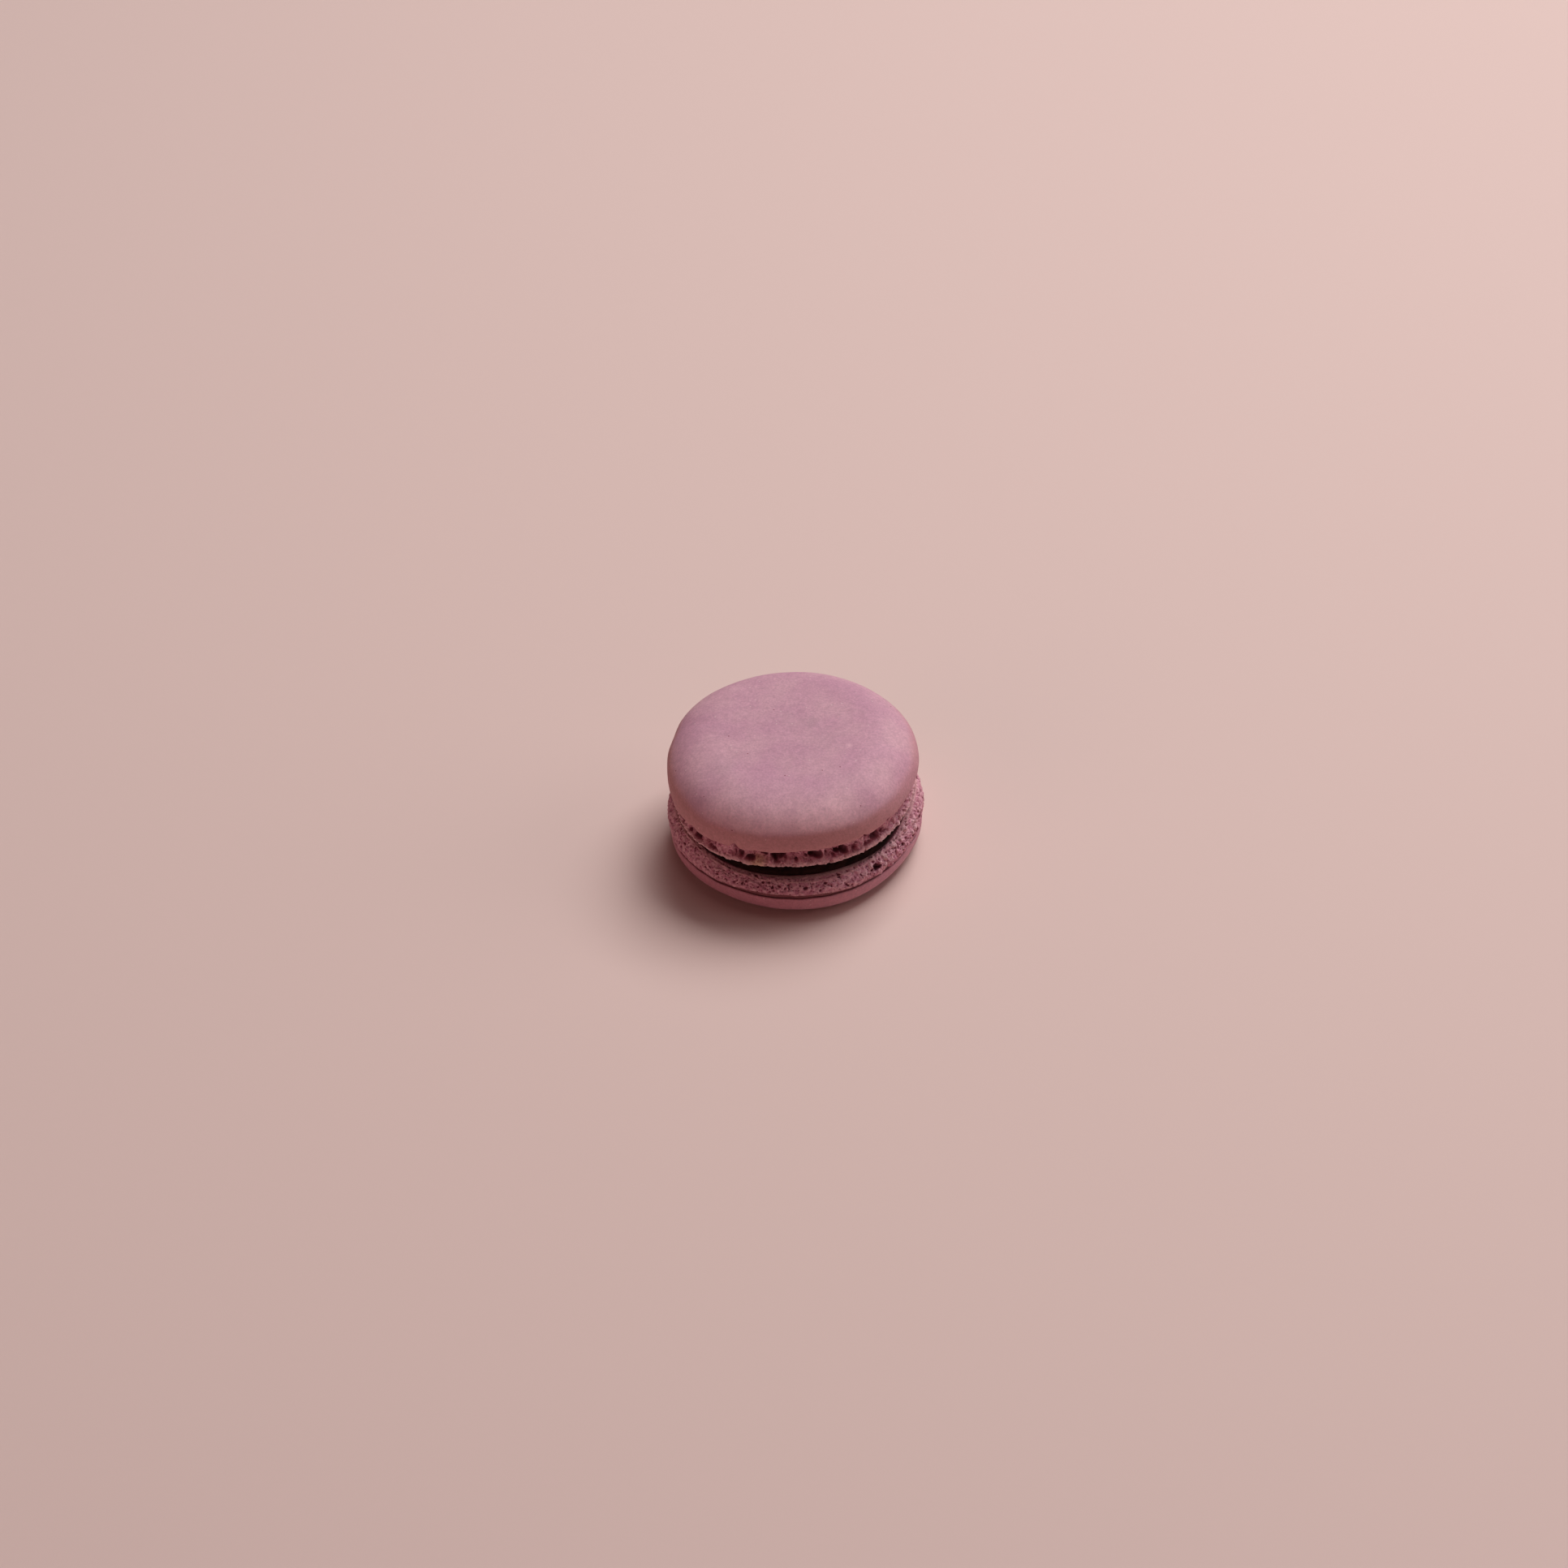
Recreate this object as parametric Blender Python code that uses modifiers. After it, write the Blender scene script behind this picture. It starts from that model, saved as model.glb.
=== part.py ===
"""French macaron: two baked almond meringue shells with a thin dark filling between them.

Sizes are in metres and +Z is up. The macaron stands level on a small flat spot, whose centre is
the origin. An azimuth is measured about Z from +X, and the open side of the slot faces -Y.

Each shell is one piece: a smooth domed cap, and the spongy foot that rose under it in the oven.
It is turned as a true round first. Then its points are moved by the formulas below, because a
piped and baked shell is never quite round, flat or level.
"""

import math

import bmesh
import bpy

MM = 0.001
COLLECTION = "french_macaron"
TURN_STEPS = 100  # straight facets round each turned shape
CAP_RINGS = 7  # rings of facets down a cap's shoulder
FOOT_RINGS = 5  # rings of points down a foot

# Driving sizes, of the whole
CAP_RADIUS = 22.45 * MM  # widest ring of the upper cap
SHARPNESS = 2.2  # power of the superellipse that rounds a cap's shoulder: 2 is a true ellipse
TOUCH_GAP = 0.3 * MM  # clearance where two pieces lie on each other

# Lower shell
REST_RADIUS = 9.0 * MM  # the flat spot it stands on
LOWER_CAP_RADIUS = 22.3 * MM
LOWER_SHOULDER = 6.0 * MM  # how far in from its edge the lower cap starts to curve up
LOWER_SHARPNESS = 2.6
LOWER_BELLY = 0.2 * MM  # how far the lower cap has risen where its shoulder starts
CREASE_HEIGHT = 4.5 * MM  # where the lower cap ends and its foot begins
CREASE_DEPTH = 0.35 * MM
LOWER_FOOT_RADIUS = 22.6 * MM
LEDGE_HEIGHT = 8.0 * MM  # flat top of the lower foot at the open front
LEDGE_SWELL = 0.4 * MM  # how much higher that top is on one side than in the middle
LEDGE_SWELL_CREST = math.radians(-35.0)
LEDGE_RADIUS = 21.4 * MM
LEDGE_ROUNDING = 0.6 * MM
LEDGE_FLATNESS = 0.3  # how far the ledge's rounded edge drops, as a part of its reach
FOOT_TURN = math.radians(140.0)  # how far along a sine the foot's bulge runs

# Upper shell: heights are above the lip, the bottom edge of its foot
LIP_HEIGHT = 11.5 * MM  # the lip's mean height above the floor
LIP_RADIUS = 21.65 * MM
LIP_ROUNDING = 0.25 * MM
HOLLOW = 0.3 * MM  # how far the underside is dished in the middle
CAVE_RADIUS = 21.15 * MM  # the foot's narrowest ring, under the cap's edge
SKIN_HEIGHT = 4.0 * MM  # lower edge of the cap's smooth skin
SKIN_LEAN = 0.35 * MM  # how much more of the foot shows under the skin at +X than in the middle
SKIN_LEAN_REACH = 3.0 * MM  # how far above and below the skin's edge that is felt
SKIN_RADIUS = 22.15 * MM
WIDEST_HEIGHT = 5.0 * MM
DOME_HEIGHT = 7.35 * MM  # from the widest ring to the flat of the dome
UPPER_SHOULDER = 9.2 * MM
CROWN = 0.3 * MM  # how far the flat of the dome still swells to its middle
ROUND_CORE = 15.0 * MM  # inside this radius the cap is as good as round
UPPER_SHIFT = -0.26 * MM  # the upper shell sits a little to -X
UPPER_LEAN_X = math.radians(1.5)  # its back is higher than its front
UPPER_LEAN_Y = math.radians(-0.55)  # its +X side is higher than its -X side

# Slot between the shells: open at the front, shut round the sides and the back
# As azimuths of where it starts to close and where it has closed
SLOT_LEFT = (math.radians(-106.0), math.radians(-180.0))
SLOT_RIGHT = (math.radians(-38.0), math.radians(-6.0))
SHUT_SLOT = 0.45 * MM

# Filling
FILLING_RADIUS_OPEN = 21.0 * MM
FILLING_RADIUS_SHUT = 17.5 * MM
FILLING_BULGE = 0.45 * MM
FILLING_MIDDLE = 12.0 * MM  # inside this the disc is simply round
FILLING_SPREAD = 2.5  # how soon the filling reaches its full radius as the slot opens

# Unevenness: waves round an outline as (waves to a turn, depth, azimuth of a crest)
UPPER_OUTLINE = (
    (3, 0.14 * MM, math.radians(5.0)),
    (4, 0.16 * MM, math.radians(39.0)),
    (5, 0.15 * MM, math.radians(10.0)),
)
LOWER_OUTLINE = (
    (3, 0.15 * MM, math.radians(31.0)),
    (4, 0.20 * MM, math.radians(9.0)),
    (5, 0.07 * MM, math.radians(-1.0)),
)

# Ruffles of the feet: waves to a turn, and where each starts, in radians
RUFFLE_WAVES = ((11, 0.9), (17, 2.3), (25, 4.1))
RUFFLE_TWIST = 1.2 / MM  # radians by which the waves turn for each metre of height
UPPER_RUFFLE = 0.20 * MM
LOWER_RUFFLE = 0.14 * MM
LIP_RUFFLE = 0.10 * MM
RUFFLE_ONSET = 4.0  # the ruffle is full after a quarter of the lower foot's face

# Flats pressed into the upper cap's shoulder, from just under the widest ring upward
PRESSED_BELOW = 1.0 * MM
PRESSED_ONSET = 3.0 * MM
# Each as azimuth, half width, depth
PRESSED_FLATS = (
    (math.radians(162.0), math.radians(11.0), 0.25 * MM),
    (math.radians(119.0), math.radians(20.0), 0.15 * MM),
)


# ---------------------------------------------------------------- helpers


def smoothstep(value):
    """Ease from 0 to 1 as value goes from 0 to 1."""
    value = min(1.0, max(0.0, value))
    return value * value * (3.0 - 2.0 * value)


def make_material(name, colour, roughness):
    """A plain matte material."""
    material = bpy.data.materials.new(name)
    material.use_nodes = True
    shader = material.node_tree.nodes["Principled BSDF"]
    shader.inputs["Base Color"].default_value = (*colour, 1.0)
    shader.inputs["Roughness"].default_value = roughness
    shader.inputs["Metallic"].default_value = 0.0
    return material


def turned_mesh(name, profile):
    """Turn a profile of (radius, height) about Z and return the closed mesh.

    The profile starts and ends on the axis, and runs down the outer side from top to bottom.
    """
    line = bpy.data.meshes.new(name + "_profile")
    points = [(radius, 0.0, height) for radius, height in profile]
    edges = [(i, i + 1) for i in range(len(points) - 1)]
    line.from_pydata(points, edges, [])
    turning = bpy.data.objects.new(name + "_profile", line)
    bpy.context.scene.collection.objects.link(turning)

    screw = turning.modifiers.new("turn", "SCREW")
    screw.axis = "Z"
    screw.angle = math.tau
    screw.steps = TURN_STEPS
    screw.render_steps = TURN_STEPS
    screw.use_merge_vertices = True
    screw.merge_threshold = 0.01 * MM
    screw.use_smooth_shade = True

    depsgraph = bpy.context.evaluated_depsgraph_get()
    mesh = bpy.data.meshes.new_from_object(turning.evaluated_get(depsgraph))
    mesh.name = name
    bpy.data.objects.remove(turning)
    bpy.data.meshes.remove(line)
    return mesh


def move_points(mesh, new_place):
    """Move each point of a turned mesh from its round place to its uneven one.

    new_place takes a radius, an azimuth and a height, and returns a new radius and height.
    """
    for vertex in mesh.vertices:
        x, y, height = vertex.co
        azimuth = math.atan2(y, x)
        radius, height = new_place(math.hypot(x, y), azimuth, height)
        vertex.co = (radius * math.cos(azimuth), radius * math.sin(azimuth), height)
    mesh.update()


def flat_rest(mesh):
    """Make the fan of facets round the lowest point of the axis one flat face."""
    body = bmesh.new()
    body.from_mesh(mesh)
    on_axis = [v for v in body.verts if math.hypot(v.co.x, v.co.y) < 0.1 * MM]
    lowest = min(on_axis, key=lambda v: v.co.z)
    bmesh.ops.dissolve_verts(body, verts=[lowest])
    body.to_mesh(mesh)
    body.free()


def add_piece(name, mesh, material, collection):
    """Put a finished mesh into the collection as an object of the same name."""
    mesh.materials.append(material)
    mesh.shade_smooth()
    piece = bpy.data.objects.new(name, mesh)
    collection.objects.link(piece)
    return piece


# ---------------------------------------------------------------- formulas of the shape


def shoulder(part, reach, rise, sharpness):
    """Quarter superellipse: part 0 is its widest ring, part 1 is its flat top."""
    angle = part * math.pi / 2.0
    outward = reach * max(0.0, math.cos(angle)) ** (2.0 / sharpness)
    upward = rise * math.sin(angle) ** (2.0 / sharpness)
    return outward, upward


def outline(azimuth, waves):
    """How much an outline is larger or smaller than its circle, as a factor near 1."""
    depth = sum(size * math.cos(count * (azimuth - crest)) for count, size, crest in waves)
    return 1.0 + depth / CAP_RADIUS


def ruffle(azimuth, turn):
    """Gathered edge of a foot, from -1 to 1. turn shifts the waves from one ring to the next."""
    waves = sum(math.sin(count * azimuth + start + turn) for count, start in RUFFLE_WAVES)
    return waves / len(RUFFLE_WAVES)


def openness(azimuth):
    """1 where the slot stands open, 0 where the feet meet."""
    if azimuth > 0.0:
        return 0.0
    left = smoothstep((azimuth - SLOT_LEFT[1]) / (SLOT_LEFT[0] - SLOT_LEFT[1]))
    right = smoothstep((azimuth - SLOT_RIGHT[1]) / (SLOT_RIGHT[0] - SLOT_RIGHT[1]))
    return left * right


def upper_plane(radius, azimuth):
    """Height of the upper shell's lip plane over the floor, with its lean."""
    x = radius * math.cos(azimuth) - UPPER_SHIFT
    y = radius * math.sin(azimuth)
    return LIP_HEIGHT + x * math.tan(-UPPER_LEAN_Y) + y * math.tan(UPPER_LEAN_X)


def dish(radius):
    """How far the upper shell's underside is above its lip plane."""
    return HOLLOW * (1.0 - smoothstep(radius / LIP_RADIUS))


def lower_rise(azimuth):
    """How much the lower foot is taller at an azimuth than at the open front."""
    part_open = openness(azimuth)
    shut = upper_plane(LEDGE_RADIUS, azimuth) - SHUT_SLOT - LEDGE_HEIGHT
    swell = LEDGE_SWELL * math.cos(azimuth - LEDGE_SWELL_CREST)
    return shut * (1.0 - part_open) + swell * part_open


def lower_top(radius, azimuth):
    """Height of the lower shell's top face, on which the filling lies."""
    return LEDGE_HEIGHT + lower_rise(azimuth) * (radius / LEDGE_RADIUS) ** 3


# ---------------------------------------------------------------- lower shell


def lower_profile():
    """Radius and height from the middle of the top face, down the foot, to the rest face."""
    points = [(0.0, LEDGE_HEIGHT)]
    inner_edge = LEDGE_RADIUS - LEDGE_ROUNDING
    for part in (0.5, 0.8, 1.0):
        points.append((part * inner_edge, LEDGE_HEIGHT))

    # The foot's face bulges as a sine does, from the ledge to its widest and in to the crease
    face_top = LEDGE_HEIGHT - LEDGE_FLATNESS * LEDGE_ROUNDING
    face_bottom = CREASE_HEIGHT + CREASE_DEPTH
    for step in range(FOOT_RINGS):
        part = step / (FOOT_RINGS - 1)
        bulge = math.sin(part * FOOT_TURN)
        radius = LEDGE_RADIUS + (LOWER_FOOT_RADIUS - LEDGE_RADIUS) * bulge
        points.append((radius, face_top + (face_bottom - face_top) * part))
    points.append((LOWER_CAP_RADIUS - CREASE_DEPTH, CREASE_HEIGHT))

    # The cap under it is a superellipse that ends in a shallow belly and the flat rest
    flat_radius = LOWER_CAP_RADIUS - LOWER_SHOULDER
    rise = CREASE_HEIGHT - CREASE_DEPTH - LOWER_BELLY
    for step in range(CAP_RINGS + 1):
        outward, upward = shoulder(step / CAP_RINGS, LOWER_SHOULDER, rise, LOWER_SHARPNESS)
        points.append((flat_radius + outward, LOWER_BELLY + rise - upward))
    return points + [(REST_RADIUS, 0.0), (0.0, 0.0)]


def uneven_lower(radius, azimuth, height):
    """The lower shell's outline waves, its ruffled foot, and the foot's rise beside the slot."""
    in_foot = smoothstep((height - CREASE_HEIGHT) / (LEDGE_HEIGHT - CREASE_HEIGHT))
    is_top_face = height > LEDGE_HEIGHT - 0.5 * LEDGE_FLATNESS * LEDGE_ROUNDING
    rise = lower_top(radius, azimuth) - LEDGE_HEIGHT if is_top_face else lower_rise(azimuth) * in_foot
    on_face = smoothstep(RUFFLE_ONSET * in_foot) * smoothstep(RUFFLE_ONSET * (1.0 - in_foot))
    radius += LOWER_RUFFLE * ruffle(azimuth, RUFFLE_TWIST * height) * on_face
    if radius > REST_RADIUS:
        out = smoothstep((radius - REST_RADIUS) / (LOWER_CAP_RADIUS - REST_RADIUS))
        radius *= 1.0 + (outline(azimuth, LOWER_OUTLINE) - 1.0) * out
    return radius, height + rise


def add_lower_shell(collection):
    """Lower shell: cap below, foot above it, and a flat top face with a ledge at the front."""
    mesh = turned_mesh("bottom_shell", lower_profile())
    flat_rest(mesh)
    move_points(mesh, uneven_lower)
    material = make_material("lower_meringue", (0.36, 0.16, 0.19), 0.85)
    return add_piece("bottom_shell", mesh, material, collection)


# ---------------------------------------------------------------- upper shell


def crown(radius):
    """Swell of the dome: all of CROWN on the axis, none at the widest ring."""
    return CROWN * (1.0 - (radius / CAP_RADIUS) ** 2)


def upper_profile():
    """Radius and height over the lip, from the crown, down the cap and foot, to the underside."""
    flat_radius = CAP_RADIUS - UPPER_SHOULDER
    cap = [(0.0, DOME_HEIGHT), (0.5 * flat_radius, DOME_HEIGHT)]
    for step in range(CAP_RINGS + 1):
        outward, upward = shoulder(1.0 - step / CAP_RINGS, UPPER_SHOULDER, DOME_HEIGHT, SHARPNESS)
        cap.append((flat_radius + outward, upward))
    points = [(radius, WIDEST_HEIGHT + height + crown(radius)) for radius, height in cap]
    points.append((SKIN_RADIUS, SKIN_HEIGHT))

    # The foot is drawn in under the skin and flares to the lip
    face_top = SKIN_HEIGHT - LIP_ROUNDING
    face_bottom = 2.0 * LIP_ROUNDING
    for step in range(FOOT_RINGS):
        part = step / (FOOT_RINGS - 1)
        radius = CAVE_RADIUS + (LIP_RADIUS - CAVE_RADIUS) * part**2
        points.append((radius, face_top + (face_bottom - face_top) * part))
    points.append((LIP_RADIUS - LIP_ROUNDING, 0.0))

    for part in (0.94, 0.65, 0.32, 0.0):
        points.append((part * LIP_RADIUS, dish(part * LIP_RADIUS)))
    return points


def pressed(azimuth, height):
    """How far the cap's shoulder is pressed in at an azimuth and a height over the lip."""
    on_shoulder = smoothstep((height - WIDEST_HEIGHT + PRESSED_BELOW) / PRESSED_ONSET)
    total = 0.0
    for middle, half_width, depth in PRESSED_FLATS:
        away = abs((azimuth - middle + math.pi) % math.tau - math.pi)
        total += depth * (1.0 - smoothstep(away / half_width))
    return total * on_shoulder


def uneven_upper(radius, azimuth, height):
    """The upper shell's outline waves, its pressed flats, and its ruffled foot."""
    out = smoothstep(radius / ROUND_CORE)
    near_skin = 1.0 - smoothstep(abs(height - SKIN_HEIGHT) / SKIN_LEAN_REACH)
    is_foot = radius > CAVE_RADIUS - LIP_ROUNDING and height < SKIN_HEIGHT - 0.5 * LIP_ROUNDING
    if is_foot:
        above_lip = smoothstep(height / (2.0 * LIP_ROUNDING))
        radius += UPPER_RUFFLE * ruffle(azimuth, RUFFLE_TWIST * height) * above_lip
        height += LIP_RUFFLE * ruffle(2.0 * azimuth, 0.0) * (1.0 - above_lip)
    radius *= 1.0 + (outline(azimuth, UPPER_OUTLINE) - 1.0) * out
    radius -= pressed(azimuth, height) * out
    height += SKIN_LEAN * math.cos(azimuth) * near_skin * out
    return radius, height


def add_upper_shell(collection):
    """Upper shell, set down on the filling with a small shift and lean."""
    mesh = turned_mesh("top_shell", upper_profile())
    move_points(mesh, uneven_upper)
    material = make_material("upper_meringue", (0.50, 0.26, 0.31), 0.85)
    shell = add_piece("top_shell", mesh, material, collection)
    shell.location = (UPPER_SHIFT, 0.0, LIP_HEIGHT)
    shell.rotation_euler = (UPPER_LEAN_X, UPPER_LEAN_Y, 0.0)
    return shell


# ---------------------------------------------------------------- filling


def filling_profile():
    """A disc one unit thick with a rounded rim: its height is the part of the way up the gap."""
    rim = FILLING_RADIUS_OPEN
    return [
        (0.0, 1.0 * MM),
        (FILLING_MIDDLE, 1.0 * MM),
        (rim - FILLING_BULGE, 1.0 * MM),
        (rim - 0.2 * FILLING_BULGE, 0.75 * MM),
        (rim, 0.5 * MM),
        (rim - 0.2 * FILLING_BULGE, 0.25 * MM),
        (rim - FILLING_BULGE, 0.0),
        (FILLING_MIDDLE, 0.0),
        (0.0, 0.0),
    ]


def uneven_filling(radius, azimuth, height):
    """Spread the disc over the lower shell and press it to the upper shell's underside."""
    reach = min(1.0, FILLING_SPREAD * openness(azimuth))
    if radius > FILLING_MIDDLE:
        radius -= (FILLING_RADIUS_OPEN - FILLING_RADIUS_SHUT) * (1.0 - smoothstep(reach))
    floor = lower_top(radius, azimuth) + TOUCH_GAP
    ceiling = upper_plane(radius, azimuth) + dish(radius) - TOUCH_GAP
    return radius, floor + (ceiling - floor) * height / MM


def add_filling(collection):
    """Filling: a thin wedge, thickest at the open front."""
    mesh = turned_mesh("filling", filling_profile())
    move_points(mesh, uneven_filling)
    material = make_material("dark_filling", (0.030, 0.014, 0.010), 0.55)
    return add_piece("filling", mesh, material, collection)


def build():
    """Clear the scene and make the three pieces."""
    for old in list(bpy.data.objects):
        bpy.data.objects.remove(old)
    collection = bpy.data.collections.new(COLLECTION)
    bpy.context.scene.collection.children.link(collection)
    add_lower_shell(collection)
    add_filling(collection)
    add_upper_shell(collection)


build()
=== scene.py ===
# %% [markdown]
# # A french macaron, dressed
# A macaron is two baked almond meringue shells with a thin filling between them. Each shell has
# a smooth matte cap and, under its edge, the "foot": the spongy ruffle that rises in the oven
# when the skin has dried and the batter can only grow out at the bottom. This lesson dresses a
# plain solid model of one macaron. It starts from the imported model, which fixes every size and
# place, and gives each surface the form and the finish that the solids leave out.

# %% Load the solid model and keep its box
import itertools
import math

import bpy
import numpy as np
from mathutils import Matrix, Vector


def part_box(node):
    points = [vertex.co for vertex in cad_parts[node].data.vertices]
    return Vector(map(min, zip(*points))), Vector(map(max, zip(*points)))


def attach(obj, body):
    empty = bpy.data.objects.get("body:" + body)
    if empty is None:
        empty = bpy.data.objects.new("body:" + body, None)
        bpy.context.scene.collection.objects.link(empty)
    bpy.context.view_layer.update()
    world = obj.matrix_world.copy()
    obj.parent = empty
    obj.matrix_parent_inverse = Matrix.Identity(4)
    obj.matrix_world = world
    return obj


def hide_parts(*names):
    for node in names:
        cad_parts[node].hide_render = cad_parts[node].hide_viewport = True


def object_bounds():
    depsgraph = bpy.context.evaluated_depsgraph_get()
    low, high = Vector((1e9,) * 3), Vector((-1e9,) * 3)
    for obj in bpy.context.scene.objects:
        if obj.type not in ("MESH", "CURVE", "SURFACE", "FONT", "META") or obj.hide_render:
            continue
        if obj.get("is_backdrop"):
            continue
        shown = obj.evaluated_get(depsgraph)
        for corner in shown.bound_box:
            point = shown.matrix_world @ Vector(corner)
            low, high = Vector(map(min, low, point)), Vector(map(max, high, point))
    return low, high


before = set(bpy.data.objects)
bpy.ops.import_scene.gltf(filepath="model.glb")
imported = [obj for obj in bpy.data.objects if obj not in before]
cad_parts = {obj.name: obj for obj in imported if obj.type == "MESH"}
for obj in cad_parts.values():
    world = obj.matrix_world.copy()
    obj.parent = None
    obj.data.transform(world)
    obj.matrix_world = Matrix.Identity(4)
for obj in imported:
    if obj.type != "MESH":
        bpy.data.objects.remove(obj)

MM = 0.001
CAD_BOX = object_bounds()
CAD_NODES = {name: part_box(name) for name in ("bottom_shell", "filling", "top_shell")}
for name, (low, high) in CAD_NODES.items():
    print(name, [round(side / MM, 2) for side in high - low], "mm")

# %% [markdown]
# ## The camera first
# The picture looks down on the macaron at about 40 degrees from a little under a metre, with a
# long lens, so round things stay round. The macaron leans slightly to one side in its picture, and
# turning the camera about its own line of sight gives that lean without tilting the model, which
# stands level. It is aimed a little above and to the left of the macaron, which puts the macaron
# a little low in the frame.

# %% Make the camera
VIEW_DOWN = math.radians(39.6)
VIEW_ROLL = math.radians(2.6)
VIEW_DISTANCE = 0.76
VIEW_LENS = 97.3
AIM_LEFT = 2.3 * MM
AIM_ABOVE = 9.6 * MM


def make_camera():
    """A camera in front, above and rolled clockwise, aimed just off the origin."""
    stand = VIEW_DISTANCE * Vector((0.0, -math.cos(VIEW_DOWN), math.sin(VIEW_DOWN)))
    level_up = Vector((0.0, math.sin(VIEW_DOWN), math.cos(VIEW_DOWN)))
    level_right = Vector((1.0, 0.0, 0.0))
    right = math.cos(VIEW_ROLL) * level_right - math.sin(VIEW_ROLL) * level_up
    up = math.sin(VIEW_ROLL) * level_right + math.cos(VIEW_ROLL) * level_up
    aim = AIM_ABOVE * up - AIM_LEFT * right
    back = (stand - aim).normalized()
    right = (right - right.dot(back) * back).normalized()
    up = back.cross(right)
    lens = bpy.data.cameras.new("camera")
    lens.lens = VIEW_LENS
    lens.clip_start = 0.01
    camera = bpy.data.objects.new("camera", lens)
    axes = Matrix((right, up, back)).transposed()
    camera.matrix_world = Matrix.Translation(stand) @ axes.to_4x4()
    bpy.context.scene.collection.objects.link(camera)
    bpy.context.scene.camera = camera
    return camera


camera = make_camera()
print("camera at", [round(v, 3) for v in camera.matrix_world.translation])

# %% [markdown]
# ## Chance that repeats
# Sponge, crumb and mottling all come from noise. Here it is worked out with whole arrays and
# depends only on a point's place, so the same point always gets the same value and a ring closes
# on itself with no seam. Every lattice cell is given a random number by scrambling its whole
# number coordinates. Two things are built on that: soft lumps, and round bubbles.

# %% Noise helpers


def smooth(value):
    """Ease from 0 to 1: three times the square less twice the cube, held between 0 and 1."""
    value = np.clip(value, 0.0, 1.0)
    return value * value * (3.0 - 2.0 * value)


def scramble(cell, seed):
    """A number from 0 to 1 for each lattice cell: multiply, shift and fold its coordinates."""
    c = cell.astype(np.int64).astype(np.uint32)
    n = c[..., 0] * np.uint32(374761393) + c[..., 1] * np.uint32(668265263)
    n = n + c[..., 2] * np.uint32(2246822519) + np.uint32(seed * 40503 + 977)
    n = (n ^ (n >> np.uint32(13))) * np.uint32(1274126177)
    n = (n ^ (n >> np.uint32(15))) * np.uint32(2654435761)
    return (n ^ (n >> np.uint32(16))).astype(np.float64) / 4294967295.0


def soft_noise(points, size, seed):
    """Lumps of one size, from -1 to 1: the eased mean of the eight corners of a point's cell."""
    place = points / size
    cell = np.floor(place)
    part = smooth(place - cell)
    total = np.zeros(points.shape[:-1])
    for corner in itertools.product((0, 1), repeat=3):
        corner = np.array(corner)
        weight = np.where(corner == 1, part, 1.0 - part).prod(axis=-1)
        total += weight * scramble(cell + corner, seed)
    return 2.0 * total - 1.0


def lumps(points, size, seed, octaves=3):
    """Soft noise of a size, plus half as much at half the size, and so on."""
    layers = [soft_noise(points, size / 2**k, seed + 17 * k) / 2**k for k in range(octaves)]
    return sum(layers) / sum(0.5**k for k in range(octaves))


def bubbles(points, size, smallest, largest, seed, share=1.0):
    """How deep a surface is inside round bubbles: root of radius squared less distance squared.

    A cell of the lattice holds one bubble, at a random place, or none. Radii are in cells.
    """
    home = np.floor(points / size)
    depth = np.zeros(points.shape[:-1])
    for step in itertools.product((-1, 0, 1), repeat=3):
        cell = home + np.array(step)
        middle = np.stack([scramble(cell, seed + k) for k in range(3)], axis=-1) + cell
        radius = smallest + (largest - smallest) * scramble(cell, seed + 3)
        radius = np.where(scramble(cell, seed + 4) < share, radius, 0.0)
        away2 = ((points / size - middle) ** 2).sum(axis=-1)
        depth = np.maximum(depth, radius**2 - away2)
    return size * np.sqrt(depth)


def foam(points, size, seed):
    """Packed bubbles: distance from the wall to the next bubble, and a lot drawn by each bubble.

    The wall is where the nearest and the second nearest random lattice points are equally far,
    so the difference of the two distances, in cells, is 0 on it and grows into the bubble.
    """
    home = np.floor(points / size)
    nearest = np.full(points.shape[:-1], 9.0)
    second, lot = nearest.copy(), np.zeros(points.shape[:-1])
    for step in itertools.product((-1, 0, 1), repeat=3):
        cell = home + np.array(step)
        middle = np.stack([scramble(cell, seed + k) for k in range(3)], axis=-1) + cell
        away = np.sqrt(((points / size - middle) ** 2).sum(axis=-1))
        closer = away < nearest
        second = np.where(closer, nearest, np.minimum(second, away))
        lot = np.where(closer, scramble(cell, seed + 3), lot)
        nearest = np.where(closer, away, nearest)
    return second - nearest, lot


def burst(points, size, deep, wall, share, seed):
    """Depth of burst bubbles in a foam: none on the walls, and only a share of them is open."""
    gap, lot = foam(points, size, seed)
    return deep * smooth((gap - wall) / 0.32) * smooth((lot - 1.0 + share) / 0.25)


def softened(depth, edge):
    """Pits with a rounded edge: the depth eased in from nothing over the first part of it."""
    return depth * smooth(depth / edge)


def stirred(points, size, amount, seed):
    """Points moved by soft noise of their own, so that round cells come out irregular."""
    moves = [soft_noise(points, size, seed + 7 * k) for k in range(3)]
    return points + amount * np.stack(moves, axis=-1)


print("noise at one point:", round(float(soft_noise(np.zeros((1, 3)), 1.0, 1)[0]), 3))

# %% [markdown]
# ## A skin made from a grid
# Every part of a macaron is round, so each piece is one grid: its rows are rings that run from a
# point on the axis, down the outside, and back to the axis underneath, and its columns run round.
# The last column joins the first, and a single point closes each end, so the piece is a sealed
# body with its faces outward. Values wanted by a material are stored beside the points.

# %% Grid helper


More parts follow.
